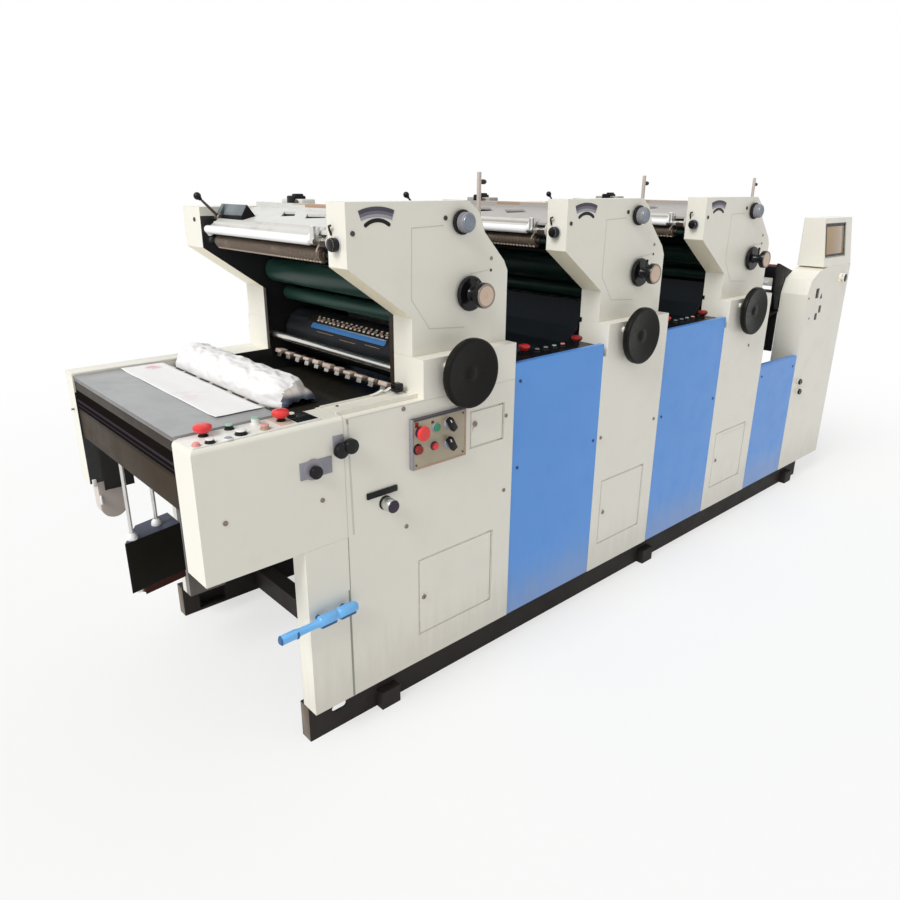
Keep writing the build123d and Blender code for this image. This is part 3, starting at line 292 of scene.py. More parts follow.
def block_row():
    """Small blocks set out in a straight row."""
    t = Tree("block row", [
        ("Count", "Int", 4), ("Start", "Vector", (0, 0, 0)), ("Step", "Vector", (0, 10, 0)),
        ("Size", "Vector", (5, 5, 5)), ("Turn", "Vector", (0, 0, 0))])
    line = t.node("GeometryNodeMeshLine", {"Count": t.given["Count"], "Start Location": t.given["Start"],
                                           "Offset": t.given["Step"]})[0]
    unit = t.node("GeometryNodeMeshCube", {"Size": t.given["Size"]})[0]
    return t.end(t.node("GeometryNodeInstanceOnPoints", {
        "Points": line, "Instance": unit, "Rotation": t.given["Turn"]})[0])


def block_ring():
    """Small blocks set out on a circle or arc square to the press, such as ribs and scale marks."""
    t = Tree("block ring", [("Count", "Int", 12), ("Centre", "Vector", (0, 0, 0)), ("Radius", "Float", 20.0),
                            ("Start", "Float", 0.0), ("Step", "Float", 0.5), ("Size", "Vector", (1, 1, 1))])
    line = t.node("GeometryNodeMeshLine", {"Count": t.given["Count"]})[0]
    index = t.node("GeometryNodeInputIndex")[0]
    turn = t.sums("ADD", t.sums("MULTIPLY", index, t.given["Step"]), t.given["Start"])
    across = t.sums("MULTIPLY", t.sums("SINE", turn, 0.0), t.given["Radius"])
    rise = t.sums("MULTIPLY", t.sums("COSINE", turn, 0.0), t.given["Radius"])
    offset = t.node("ShaderNodeCombineXYZ", {"X": across, "Y": 0.0, "Z": rise})[0]
    place = t.node("ShaderNodeVectorMath", {0: offset, 1: t.given["Centre"]}, operation="ADD")[0]
    spread = t.node("GeometryNodeSetPosition", {"Geometry": line, "Position": place})[0]
    unit = t.node("GeometryNodeMeshCube", {"Size": t.given["Size"]})[0]
    facing = t.node("ShaderNodeCombineXYZ", {"X": 0.0, "Y": turn, "Z": 0.0})[0]
    return t.end(t.node("GeometryNodeInstanceOnPoints", {
        "Points": spread, "Instance": unit, "Rotation": facing})[0])


def ring_row():
    """Thin rings along a roller, such as the ribs of the fountain roller."""
    t = Tree("ring row", [
        ("Count", "Int", 10), ("Start", "Vector", (0, 0, 0)), ("Step", "Vector", (0, 10, 0)),
        ("Radius", "Float", 10.0), ("Width", "Float", 3.0)])
    line = t.node("GeometryNodeMeshLine", {"Count": t.given["Count"], "Start Location": t.given["Start"],
                                           "Offset": t.given["Step"]})[0]
    ring = t.node("GeometryNodeMeshCylinder", {
        "Vertices": 20, "Radius": t.given["Radius"], "Depth": t.given["Width"]})[0]
    return t.end(t.node("GeometryNodeInstanceOnPoints", {
        "Points": line, "Instance": ring, "Rotation": (math.pi / 2, 0.0, 0.0)})[0])


class Piece:
    """One piece of the press: rounded solids gathered into one mesh with several finishes."""

    def __init__(self, name):
        self.name = name
        self.mesh = bmesh.new()
        self.finishes = []

    def add(self, solid, finish, edge=0.0, segments=2, smooth=35.0):
        if edge:
            limit = math.radians(smooth)
            sharp = [e for e in solid.edges if len(e.link_faces) == 2 and e.calc_face_angle() > limit]
            bmesh.ops.bevel(solid, geom=sharp, offset=edge, segments=segments, profile=0.5,
                            affect="EDGES", clamp_overlap=True)
        if finish not in self.finishes:
            self.finishes.append(finish)
        index = self.finishes.index(finish)
        for face in solid.faces:
            face.material_index = index
            face.smooth = True
        for e in solid.edges:
            e.smooth = len(e.link_faces) != 2 or e.calc_face_angle() < math.radians(smooth)
        part = bpy.data.meshes.new("part")
        solid.to_mesh(part)
        solid.free()
        self.mesh.from_mesh(part)
        bpy.data.meshes.remove(part)
        return self

    def grow(self, tree, finish, points=(), **values):
        """Adds what a geometry tree makes."""
        made = TREE[tree].run(finish, points, **values)
        solid = bmesh.new()
        solid.from_mesh(made)
        bpy.data.meshes.remove(made)
        return self.add(solid, finish)

    def done(self, body="frame", slot=None, replaces=()):
        """Makes the object, with its place in its mesh, and sets what it rides on."""
        bmesh.ops.translate(self.mesh, vec=-ROW_ORIGIN, verts=self.mesh.verts)
        bmesh.ops.scale(self.mesh, vec=(MM, MM, MM), verts=self.mesh.verts)
        data = bpy.data.meshes.new(self.name)
        self.mesh.to_mesh(data)
        self.mesh.free()
        for finish in self.finishes:
            data.materials.append(FINISH[finish])
        return settle(bpy.data.objects.new(self.name, data), body, slot, replaces)


def settle(obj, body, slot, replaces=()):
    """Links an object and says which body carries it and which node it stands for."""
    if obj.name not in bpy.context.scene.collection.objects:
        bpy.context.scene.collection.objects.link(obj)
    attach(obj, body)
    if slot:
        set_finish(obj, slot)
    if replaces:
        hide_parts(*replaces)
    return obj


# Shader groups and finishes
def new_group(name, inputs, outputs):
    """An empty shader group with named sockets, and its two end nodes."""
    tree = bpy.data.node_groups.new(name, "ShaderNodeTree")
    for label, kind, value in inputs:
        socket = tree.interface.new_socket(label, in_out="INPUT", socket_type=kind)
        if value is not None:
            socket.default_value = value
    for label, kind in outputs:
        tree.interface.new_socket(label, in_out="OUTPUT", socket_type=kind)
    return tree, tree.nodes.new("NodeGroupInput"), tree.nodes.new("NodeGroupOutput")


def noise_node(tree, vector, scale, detail=3.0, rough=0.5):
    n = tree.nodes.new("ShaderNodeTexNoise")
    n.inputs["Detail"].default_value = detail
    n.inputs["Roughness"].default_value = rough
    if hasattr(scale, "is_linked"):
        tree.links.new(scale, n.inputs["Scale"])
    else:
        n.inputs["Scale"].default_value = scale
    tree.links.new(vector, n.inputs["Vector"])
    return n.outputs["Fac"]


def math_node(tree, kind, a, b=None, clamp=False):
    n = tree.nodes.new("ShaderNodeMath")
    n.operation = kind
    n.use_clamp = clamp
    for socket, value in zip(n.inputs, (a, b)):
        if value is None:
            continue
        if isinstance(value, (int, float)):
            socket.default_value = value
        else:
            tree.links.new(value, socket)
    return n.outputs[0]


def remap(tree, value, low, high, to_low=0.0, to_high=1.0):
    """A value brought from one range to another, smoothly and clamped."""
    n = tree.nodes.new("ShaderNodeMapRange")
    n.interpolation_type = "SMOOTHSTEP"
    tree.links.new(value, n.inputs["Value"])
    for label, v in (("From Min", low), ("From Max", high), ("To Min", to_low), ("To Max", to_high)):
        if isinstance(v, (int, float)):
            n.inputs[label].default_value = v
        else:
            tree.links.new(v, n.inputs[label])
    return n.outputs["Result"]


def mix_colour(tree, factor, a, b, blend="MIX"):
    n = tree.nodes.new("ShaderNodeMix")
    n.data_type = "RGBA"
    n.blend_type = blend
    n.clamp_factor = True
    for socket, value in ((n.inputs[0], factor), (n.inputs[6], a), (n.inputs[7], b)):
        if isinstance(value, (int, float)):
            socket.default_value = value
        elif isinstance(value, tuple):
            socket.default_value = value if len(value) == 4 else (*value, 1.0)
        else:
            tree.links.new(value, socket)
    return n.outputs[2]


def object_place(tree, stretch=(1, 1, 1)):
    """Object coordinates, stretched along the axes where a pattern has a grain."""
    coord = tree.nodes.new("ShaderNodeTexCoord")
    if stretch == (1, 1, 1):
        return coord.outputs["Object"]
    mapping = tree.nodes.new("ShaderNodeMapping")
    mapping.inputs["Scale"].default_value = stretch
    tree.links.new(coord.outputs["Object"], mapping.inputs["Vector"])
    return mapping.outputs["Vector"]


def axis_of(tree, axis):
    """One of the object coordinates, in metres of the row frame."""
    split = tree.nodes.new("ShaderNodeSeparateXYZ")
    tree.links.new(object_place(tree), split.inputs[0])
    return split.outputs[axis]


def make_paint_film():
    """Sprayed enamel: slight mottling, orange peel and handling marks."""
    tree, inp, out = new_group("paint_film", [
        ("Colour", "NodeSocketColor", (0.8, 0.8, 0.8, 1)),
        ("Soiled Colour", "NodeSocketColor", (0.4, 0.36, 0.3, 1)),
        ("Mottling", "NodeSocketFloat", 0.05),
        ("Soiling", "NodeSocketFloat", 0.2),
        ("Peel Scale", "NodeSocketFloat", 420.0),
    ], [("Colour", "NodeSocketColor"), ("Roughness", "NodeSocketFloat"), ("Height", "NodeSocketFloat")])
    place = object_place(tree)
    cloud = noise_node(tree, place, 2.6, 5.0, 0.55)
    patch = noise_node(tree, place, 11.0, 6.0, 0.62)
    peel = noise_node(tree, place, inp.outputs["Peel Scale"], 1.0, 0.4)
    shade = math_node(tree, "SUBTRACT", cloud, 0.5)
    shade = math_node(tree, "MULTIPLY", shade, inp.outputs["Mottling"])
    shade = math_node(tree, "ADD", shade, 1.0)
    toned = tree.nodes.new("ShaderNodeVectorMath")
    toned.operation = "SCALE"
    tree.links.new(inp.outputs["Colour"], toned.inputs[0])
    tree.links.new(shade, toned.inputs["Scale"])
    smear = remap(tree, patch, 0.52, 0.78)
    smear = math_node(tree, "MULTIPLY", smear, inp.outputs["Soiling"], clamp=True)
    colour = mix_colour(tree, smear, toned.outputs[0], inp.outputs["Soiled Colour"])
    tree.links.new(colour, out.inputs["Colour"])
    tree.links.new(remap(tree, patch, 0.3, 0.75, 0.30, 0.48), out.inputs["Roughness"])
    tree.links.new(peel, out.inputs["Height"])
    return tree


def make_worn_edges():
    """A mask of sharp outer edges, broken up by noise, where paint has rubbed thin."""
    tree, inp, out = new_group("worn_edges", [
        ("Width", "NodeSocketFloat", 0.003),
        ("Amount", "NodeSocketFloat", 0.5),
    ], [("Mask", "NodeSocketFloat"), ("Normal", "NodeSocketVector")])
    rounded = tree.nodes.new("ShaderNodeBevel")
    rounded.samples = 4
    tree.links.new(inp.outputs["Width"], rounded.inputs["Radius"])
    facing = tree.nodes.new("ShaderNodeNewGeometry")
    dot = tree.nodes.new("ShaderNodeVectorMath")
    dot.operation = "DOT_PRODUCT"
    tree.links.new(rounded.outputs["Normal"], dot.inputs[0])
    tree.links.new(facing.outputs["Normal"], dot.inputs[1])
    turn = math_node(tree, "SUBTRACT", 1.0, dot.outputs["Value"])
    edge = remap(tree, turn, 0.03, 0.25)
    chips = remap(tree, noise_node(tree, object_place(tree), 55.0, 5.0, 0.7), 0.5, 0.62)
    mask = math_node(tree, "MULTIPLY", edge, chips)
    mask = math_node(tree, "MULTIPLY", mask, inp.outputs["Amount"], clamp=True)
    tree.links.new(mask, out.inputs["Mask"])
    tree.links.new(rounded.outputs["Normal"], out.inputs["Normal"])
    return tree


def make_floor_dust():
    """Dust that settles on the lowest part of the machine, streaked upwards."""
    tree, inp, out = new_group("floor_dust", [
        ("Colour", "NodeSocketColor", (0.8, 0.8, 0.8, 1)),
        ("Dust", "NodeSocketColor", (0.42, 0.37, 0.31, 1)),
        ("Height", "NodeSocketFloat", 0.25),
        ("Amount", "NodeSocketFloat", 0.35),
    ], [("Colour", "NodeSocketColor")])
    streaks = noise_node(tree, object_place(tree, (14, 14, 1.5)), 3.0, 4.0, 0.6)
    rise = math_node(tree, "MULTIPLY", streaks, inp.outputs["Height"])
    above = math_node(tree, "SUBTRACT", axis_of(tree, "Z"), rise)
    low = remap(tree, above, 0.0, inp.outputs["Height"], 1.0, 0.0)
    mask = math_node(tree, "MULTIPLY", low, inp.outputs["Amount"], clamp=True)
    dusty = mix_colour(tree, mask, inp.outputs["Colour"], inp.outputs["Dust"])
    tree.links.new(dusty, out.inputs["Colour"])
    return tree


def make_turning_marks():
    """Fine rings or lines left by a tool, drawn out along one axis of the object."""
    tree, inp, out = new_group("turning_marks", [
        ("Direction", "NodeSocketVector", (1.0, 60.0, 60.0)),
        ("Scale", "NodeSocketFloat", 12.0),
        ("Depth", "NodeSocketFloat", 1.0),
    ], [("Value", "NodeSocketFloat"), ("Height", "NodeSocketFloat"), ("Roughness", "NodeSocketFloat")])
    coord = tree.nodes.new("ShaderNodeTexCoord")
    stretch = tree.nodes.new("ShaderNodeVectorMath")
    stretch.operation = "MULTIPLY"
    tree.links.new(coord.outputs["Object"], stretch.inputs[0])
    tree.links.new(inp.outputs["Direction"], stretch.inputs[1])
    fine = noise_node(tree, stretch.outputs[0], inp.outputs["Scale"], 6.0, 0.65)
    tree.links.new(fine, out.inputs["Value"])
    tree.links.new(math_node(tree, "MULTIPLY", fine, inp.outputs["Depth"]), out.inputs["Height"])
    tree.links.new(remap(tree, fine, 0.3, 0.7, 0.22, 0.42), out.inputs["Roughness"])
    return tree


def make_ink_haze():
    """A thin film of dried ink and dust on rollers and dark parts."""
    tree, inp, out = new_group("ink_haze", [
        ("Colour", "NodeSocketColor", (0.1, 0.1, 0.1, 1)),
        ("Haze", "NodeSocketColor", (0.3, 0.3, 0.3, 1)),
        ("Amount", "NodeSocketFloat", 0.3),
        ("Grain", "NodeSocketVector", (8.0, 1.0, 8.0)),
    ], [("Colour", "NodeSocketColor"), ("Roughness", "NodeSocketFloat"), ("Height", "NodeSocketFloat")])
    coord = tree.nodes.new("ShaderNodeTexCoord")
    stretch = tree.nodes.new("ShaderNodeVectorMath")
    stretch.operation = "MULTIPLY"
    tree.links.new(coord.outputs["Object"], stretch.inputs[0])
    tree.links.new(inp.outputs["Grain"], stretch.inputs[1])
    streak = noise_node(tree, stretch.outputs[0], 6.0, 5.0, 0.6)
    mask = math_node(tree, "MULTIPLY", remap(tree, streak, 0.38, 0.75), inp.outputs["Amount"], clamp=True)
    tree.links.new(mix_colour(tree, mask, inp.outputs["Colour"], inp.outputs["Haze"]), out.inputs["Colour"])
    tree.links.new(remap(tree, streak, 0.3, 0.7, 0.28, 0.5), out.inputs["Roughness"])
    tree.links.new(noise_node(tree, coord.outputs["Object"], 700.0, 2.0, 0.5), out.inputs["Height"])
    return tree


GROUP = {}
FINISH = {}


def new_finish(name):
    """A material with a Principled shader, ready to be wired."""
    m = bpy.data.materials.new(name)
    m.use_nodes = True
    tree = m.node_tree
    shader = next(n for n in tree.nodes if n.type == "BSDF_PRINCIPLED")
    FINISH[name] = m
    return tree, shader


def place_group(tree, name, **values):
    n = tree.nodes.new("ShaderNodeGroup")
    n.node_tree = GROUP[name]
    for label, value in values.items():
        socket = n.inputs[label.replace("_", " ")]
        if isinstance(value, bpy.types.NodeSocket):
            tree.links.new(value, socket)
        elif isinstance(value, tuple) and socket.type == "RGBA":
            socket.default_value = (*value, 1.0)
        else:
            socket.default_value = value
    return n.outputs


def bump(tree, height, strength, distance, normal=None):
    n = tree.nodes.new("ShaderNodeBump")
    n.inputs["Strength"].default_value = strength
    n.inputs["Distance"].default_value = distance
    tree.links.new(height, n.inputs["Height"])
    if normal is not None:
        tree.links.new(normal, n.inputs["Normal"])
    return n.outputs["Normal"]


def zone(tree, axis, low=None, high=None):
    """1 between two places along an axis of the press, in millimetres, and 0 outside them."""
    place = axis_of(tree, axis)
    shift = ROW_ORIGIN["XYZ".index(axis)]
    inside = 1.0
    if low is not None:
        inside = math_node(tree, "GREATER_THAN", place, (low - shift) * MM)
    if high is not None:
        below = math_node(tree, "LESS_THAN", place, (high - shift) * MM)
        inside = math_node(tree, "MULTIPLY", inside, below)
    return inside


def inner_shade_mask(tree, far_side, top):
    """1 on the faces of the side frames that look inwards over the rollers, below the given height, where
    shade is painted.
    """
    across = zone(tree, "Y", INNER_NEAR - 0.6, far_side)
    return math_node(tree, "MULTIPLY", across, zone(tree, "Z", None, top))


def enamel(name, colour, soiled, mottling=0.05, soiling=0.12, wear=0.5, bare=(0.32, 0.30, 0.27), dust=0.3,
           inner=None, inner_box=(INNER_FAR + 0.6, 1440.0), rough=None, shine=0.5, coat=0.12, under=None):
    """Enamelled sheet metal, worn at the edges and dusty near the floor.

    inner is painted shade on the faces between the side frames, and under is painted warm bounce light on
    those that look downwards.
    """
    tree, shader = new_finish(name)
    film = place_group(tree, "paint_film", Colour=colour, Soiled_Colour=soiled, Mottling=mottling,
                       Soiling=soiling)
    edges = place_group(tree, "worn_edges", Width=0.0022, Amount=wear)
    face = film["Colour"]
    # Painted shade: faces between the side frames, below the given height, take the near-black inner colour.
    if inner is not None:
        face = mix_colour(tree, inner_shade_mask(tree, *inner_box), face, inner)
    # Painted bounce light: faces that look downwards turn to the warm, paler under colour.
    if under is not None:
        facing = tree.nodes.new("ShaderNodeSeparateXYZ")
        tree.links.new(tree.nodes.new("ShaderNodeNewGeometry").outputs["True Normal"], facing.inputs[0])
        bounce_light_mask = remap(tree, facing.outputs["Z"], -0.55, -0.35, 1.0, 0.0)
        face = mix_colour(tree, bounce_light_mask, face, under)
    face = mix_colour(tree, edges["Mask"], face, bare)
    dusty = place_group(tree, "floor_dust", Colour=face, Height=0.22, Amount=dust)
    tree.links.new(dusty["Colour"], shader.inputs["Base Color"])
    if rough is None:
        tree.links.new(film["Roughness"], shader.inputs["Roughness"])
    else:
        gloss = remap(tree, film["Roughness"], 0.3, 0.48, rough - 0.05, rough + 0.08)
        tree.links.new(gloss, shader.inputs["Roughness"])
    shader.inputs["Specular IOR Level"].default_value = shine
    shader.inputs["Coat Weight"].default_value = coat
    shader.inputs["Coat Roughness"].default_value = 0.25
    tree.links.new(bump(tree, film["Height"], 0.10, 0.0004, edges["Normal"]), shader.inputs["Normal"])
    return tree, shader


def metal(name, colour, direction, scale=12.0, rough=(0.22, 0.42), metallic=1.0, haze=0.25,
          haze_colour=(0.25, 0.2, 0.15)):
    """Bare machined metal with tool marks and a little staining."""
    tree, shader = new_finish(name)
    marks = place_group(tree, "turning_marks", Direction=direction, Scale=scale, Depth=1.0)
    stain = remap(tree, noise_node(tree, object_place(tree), 18.0, 5.0, 0.6), 0.5, 0.8)
    stain = math_node(tree, "MULTIPLY", stain, haze, clamp=True)
    deep = tuple(c * 0.6 for c in colour)
    tone = mix_colour(tree, remap(tree, marks["Value"], 0.3, 0.7, 0.0, 0.3), colour, deep)
    tree.links.new(mix_colour(tree, stain, tone, haze_colour), shader.inputs["Base Color"])
    shader.inputs["Metallic"].default_value = metallic
    tree.links.new(remap(tree, marks["Value"], 0.3, 0.7, rough[0], rough[1]), shader.inputs["Roughness"])
    edges = place_group(tree, "worn_edges", Width=0.0012, Amount=0.0)
    tree.links.new(bump(tree, marks["Height"], 0.12, 0.0003, edges["Normal"]), shader.inputs["Normal"])
    return tree, shader


def plastic(name, colour, rough=(0.2, 0.36), scuff=0.15, edge=0.0012, shine=0.5):
    """Moulded plastic with fine scuffs and rounded edges."""
    tree, shader = new_finish(name)
    place = object_place(tree)
    scratch = noise_node(tree, object_place(tree, (3, 1, 14)), 40.0, 4.0, 0.7)
    cloud = noise_node(tree, place, 60.0, 4.0, 0.6)
    rub = math_node(tree, "MULTIPLY", remap(tree, scratch, 0.52, 0.72), scuff, clamp=True)
    pale = tuple(min(1.0, c * 1.6 + 0.03) for c in colour)
    tree.links.new(mix_colour(tree, rub, colour, pale), shader.inputs["Base Color"])
    tree.links.new(remap(tree, cloud, 0.3, 0.7, rough[0], rough[1]), shader.inputs["Roughness"])
    shader.inputs["Specular IOR Level"].default_value = shine
    edges = place_group(tree, "worn_edges", Width=edge, Amount=0.0)
    tree.links.new(bump(tree, noise_node(tree, place, 900.0, 1.0, 0.5), 0.06, 0.0002, edges["Normal"]),
                   shader.inputs["Normal"])
    return tree, shader


def roller_rubber(name, colour, haze, shine=0.25):
    """Rubber covering with a haze of ink, and bright journals beyond its ends."""
    tree, shader = new_finish(name)
    skin = place_group(tree, "ink_haze", Colour=colour, Haze=haze, Amount=0.45)
    inside = zone(tree, "Y", INNER_NEAR + JOURNAL - 0.5, INNER_FAR - JOURNAL + 0.5)
    tree.links.new(mix_colour(tree, inside, (0.55, 0.54, 0.52), skin["Colour"]), shader.inputs["Base Color"])
    tree.links.new(math_node(tree, "SUBTRACT", 1.0, inside), shader.inputs["Metallic"])
    tree.links.new(skin["Roughness"], shader.inputs["Roughness"])
    shader.inputs["Specular IOR Level"].default_value = shine
    tree.links.new(bump(tree, skin["Height"], 0.08, 0.0003), shader.inputs["Normal"])
    return tree, shader


def part_paint(name, colour, other, axis, low_end, high_end, low=None, shine=0.3):
    """Satin paint that changes colour at a place on the piece."""
    tree, shader = enamel(name, colour, tuple(c * 0.7 for c in colour), soiling=0.25, dust=0.0,
                          shine=shine, coat=0.02)
    face = shader.inputs["Base Color"].links[0].from_socket
    face = mix_colour(tree, zone(tree, axis, low_end, high_end), face, other)
    if low is not None:
        face = mix_colour(tree, zone(tree, axis, None, low[0]), face, low[1])
    tree.links.new(face, shader.inputs["Base Color"])


def blanket_finish():
    """The drum: near-black as painted shade of the throat, with a film of ink, and a bright shaft."""
    tree, shader = new_finish("blanket")
    # Painted shade: the drum's face is near-black, for the shade deep between the side frames.
    skin = place_group(tree, "ink_haze", Colour=(0.012, 0.014, 0.016), Haze=(0.035, 0.038, 0.045), Amount=0.5)
    inside = zone(tree, "Y", INNER_NEAR + JOURNAL + 1.5, INNER_FAR - JOURNAL - 1.5)
    tree.links.new(mix_colour(tree, inside, (0.50, 0.49, 0.47), skin["Colour"]), shader.inputs["Base Color"])
    tree.links.new(math_node(tree, "SUBTRACT", 1.0, inside), shader.inputs["Metallic"])
    tree.links.new(skin["Roughness"], shader.inputs["Roughness"])
    shader.inputs["Specular IOR Level"].default_value = 0.1
    tree.links.new(bump(tree, skin["Height"], 0.08, 0.0003), shader.inputs["Normal"])


def banded_finish(name, colour, bands, shine=0.1):
    """Dark sheet with level bands of other colours, given as (bottom, top, softness, colour); some of these
    bands are painted light and shade.
    """
    tree, shader = enamel(name, colour, tuple(c * 1.6 for c in colour), soiling=0.3, wear=0.3, dust=0.0,
                          rough=0.5, shine=shine, coat=0.0)
    face = shader.inputs["Base Color"].links[0].from_socket
    height = axis_of(tree, "Z")
    for low, high, soft, tone in bands:
        under = remap(tree, height, (low - soft) * MM, (low + soft) * MM)
        over = remap(tree, height, (high - soft) * MM, (high + soft) * MM, 1.0, 0.0)
        face = mix_colour(tree, math_node(tree, "MULTIPLY", under, over), face, tone)
    tree.links.new(face, shader.inputs["Base Color"])
    return tree, shader


def make_finishes():
    GROUP["paint_film"] = make_paint_film()
    GROUP["worn_edges"] = make_worn_edges()
    GROUP["floor_dust"] = make_floor_dust()
    GROUP["turning_marks"] = make_turning_marks()
    GROUP["ink_haze"] = make_ink_haze()
    # shadow is painted shade on the inward faces of the side frames and of the far delivery box.
    cream, soiled_cream, shadow = (0.80, 0.775, 0.685), (0.60, 0.55, 0.45), (0.020, 0.020, 0.020)
    # The warm under colour is painted bounce light on the housings' faces that look downwards.
    enamel("cream enamel", cream, soiled_cream, inner=shadow, under=(1.0, 0.92, 0.70))
    enamel("ledge cream", (0.80, 0.79, 0.74), (0.62, 0.58, 0.50), dust=0.0)
    enamel("worn cream", (0.62, 0.50, 0.42), (0.28, 0.17, 0.11), soiling=0.7, dust=0.0)
    enamel("box grey", (0.50, 0.52, 0.52), (0.26, 0.27, 0.27), soiling=0.25, dust=0.0)
    enamel("box slate", (0.125, 0.150, 0.165), (0.06, 0.07, 0.075), soiling=0.4, dust=0.0, shine=0.4)
    enamel("post steel", (0.50, 0.43, 0.38), (0.30, 0.26, 0.21), soiling=0.3, dust=0.0)
    # Painted light: the ends of the black base beams are tan, for the light that falls on them.
    enamel("beam end with painted light", (0.13, 0.10, 0.072), (0.10, 0.075, 0.05), soiling=0.4, dust=0.0, shine=0.2)
    enamel("table edge", (0.16, 0.15, 0.145), (0.16, 0.15, 0.14), soiling=0.3, dust=0.0, shine=0.3)
    enamel("duct grey", (0.58, 0.56, 0.52), (0.30, 0.26, 0.22), soiling=0.4, dust=0.0)
    enamel("blue enamel", (0.085, 0.30, 0.76), (0.08, 0.22, 0.50), mottling=0.08, soiling=0.15, wear=0.25)
    enamel("black enamel", (0.013, 0.011, 0.012), (0.024, 0.020, 0.020), soiling=0.3, wear=0.35, dust=0.05,
           bare=(0.08, 0.07, 0.06), rough=0.55, shine=0.08, coat=0.0)
    enamel("dark sheet", (0.020, 0.017, 0.013), (0.040, 0.033, 0.026), soiling=0.3, wear=0.3, dust=0.0,
           bare=(0.12, 0.11, 0.10), shine=0.15, coat=0.02)
    enamel("guard black", (0.006, 0.006, 0.007), (0.016, 0.015, 0.015), soiling=0.3, wear=0.2, dust=0.0,
           bare=(0.05, 0.05, 0.05), shine=0.12, coat=0.0)
    enamel("dark brown", (0.035, 0.024, 0.018), (0.09, 0.06, 0.045), soiling=0.4, wear=0.3, dust=0.0,
           shine=0.2, coat=0.0)
    enamel("grey sheet", (0.33, 0.335, 0.34), (0.25, 0.25, 0.24), mottling=0.10, soiling=0.25, dust=0.0,
           rough=0.38)
    # Painted shade on the far delivery box's face toward the table, below 940.
    enamel("box cream", cream, soiled_cream, inner=shadow, inner_box=(847.0, 940.0))
    enamel("mottled plate", (0.27, 0.265, 0.30), (0.12, 0.115, 0.13), mottling=0.5, soiling=0.6, dust=0.0,
           shine=0.3)
    # Painted reflection: the decks of the second and third units turn darker, for the dark reflections they
    # show.
    part_paint("deck grey with painted reflection", (0.66, 0.66, 0.63), (0.40, 0.38, 0.36), "X", PITCH, None)
    # Painted shade: the round guard's plate turns near-black nearer than y 845.5, for the shade on the far
    # box's inward face; beyond that is the guard's own pinkish paint.
    part_paint("guard and shaded plate", (0.62, 0.55, 0.50), (0.020, 0.017, 0.014), "Y", None, 845.5)
    part_paint("carriage", (0.012, 0.011, 0.008), (0.080, 0.088, 0.13), "Z", 519.6, None,
               low=(349.8, (0.06, 0.016, 0.010)), shine=0.12)
    # Painted highlight: a paler blue-grey band from 984 to 1000 along the hood's lower edge on the near-black
    # sheet.
    banded_finish("guard sheet with painted highlight", (0.006, 0.008, 0.010), ((984, 1000, 5, (0.125, 0.14, 0.175)),), shine=0.08)
    # Painted shade: the fascia's dark band from 890 to 948 and the near-black recess stand for the shade in
    # its long recess; the recess has two thin lighter lines and the fascia a slightly lighter band from 700
    # to 880.
    banded_finish("fascia brown", (0.030, 0.024, 0.018), ((890, 948, 2, (0.010, 0.008, 0.007)),
                                                           (700, 880, 4, (0.050, 0.038, 0.027))), shine=0.03)
    banded_finish("shaded fascia recess", (0.010, 0.008, 0.007), ((912, 920, 1, (0.040, 0.032, 0.042)),
                                                             (898, 903, 1, (0.034, 0.027, 0.036))), shine=0.0)
    banded_finish("fascia band", (0.042, 0.034, 0.027), (), shine=0.1)
    enamel("tan panel", (0.40, 0.34, 0.24), (0.28, 0.22, 0.15), soiling=0.3, dust=0.0)
    enamel("brown bar", (0.42, 0.27, 0.18), (0.30, 0.18, 0.11), soiling=0.35, dust=0.0)
    enamel("pale tan", (0.58, 0.46, 0.35), (0.36, 0.26, 0.18), soiling=0.4, dust=0.0)
    metal("bright steel", (0.74, 0.73, 0.70), (60.0, 1.0, 60.0))
    metal("pale chrome", (0.72, 0.74, 0.70), (30.0, 30.0, 30.0), rough=(0.25, 0.45), haze=0.2)
    metal("bronze roller", (0.20, 0.145, 0.105), (30.0, 1.5, 30.0), rough=(0.35, 0.55), haze=0.5,
          haze_colour=(0.42, 0.36, 0.28), metallic=0.5)
    metal("turned aluminium", (0.52, 0.54, 0.58), (1.0, 90.0, 1.0), rough=(0.25, 0.45), haze=0.3)
    metal("screw steel", (0.30, 0.25, 0.21), (30.0, 30.0, 30.0), rough=(0.3, 0.5), haze=0.4)
    metal("dark steel", (0.10, 0.085, 0.075), (30.0, 30.0, 30.0), rough=(0.35, 0.5), haze=0.3)
    metal("knob front", (0.24, 0.265, 0.31), (90.0, 1.0, 90.0), rough=(0.3, 0.5), haze=0.5,
          haze_colour=(0.46, 0.47, 0.48))
    plastic("black plastic", (0.008, 0.008, 0.009), shine=0.2)
    plastic("wheel black", (0.008, 0.0075, 0.006), rough=(0.26, 0.42), scuff=0.12, shine=0.12)
    plastic("black ball", (0.006, 0.006, 0.007), rough=(0.12, 0.22), scuff=0.08, shine=0.25)
    plastic("red plastic", (0.78, 0.035, 0.035), rough=(0.22, 0.35), scuff=0.1)
    plastic("dark red plastic", (0.26, 0.02, 0.02), rough=(0.22, 0.35), scuff=0.1, shine=0.3)
    plastic("pink plastic", (0.75, 0.30, 0.28), rough=(0.22, 0.35), scuff=0.1)
    plastic("green plastic", (0.02, 0.22, 0.11), rough=(0.2, 0.35))
    plastic("pale green", (0.30, 0.50, 0.38), rough=(0.25, 0.4))
    plastic("dark violet", (0.035, 0.022, 0.045), rough=(0.25, 0.4), scuff=0.1, shine=0.3)
    plastic("scale violet", (0.075, 0.068, 0.085), rough=(0.4, 0.55), scuff=0.3, shine=0.2)
    plastic("scale middle", (0.16, 0.15, 0.185), rough=(0.4, 0.55), scuff=0.25, shine=0.2)
    plastic("scale light", (0.34, 0.32, 0.37), rough=(0.4, 0.55), scuff=0.25, shine=0.3)
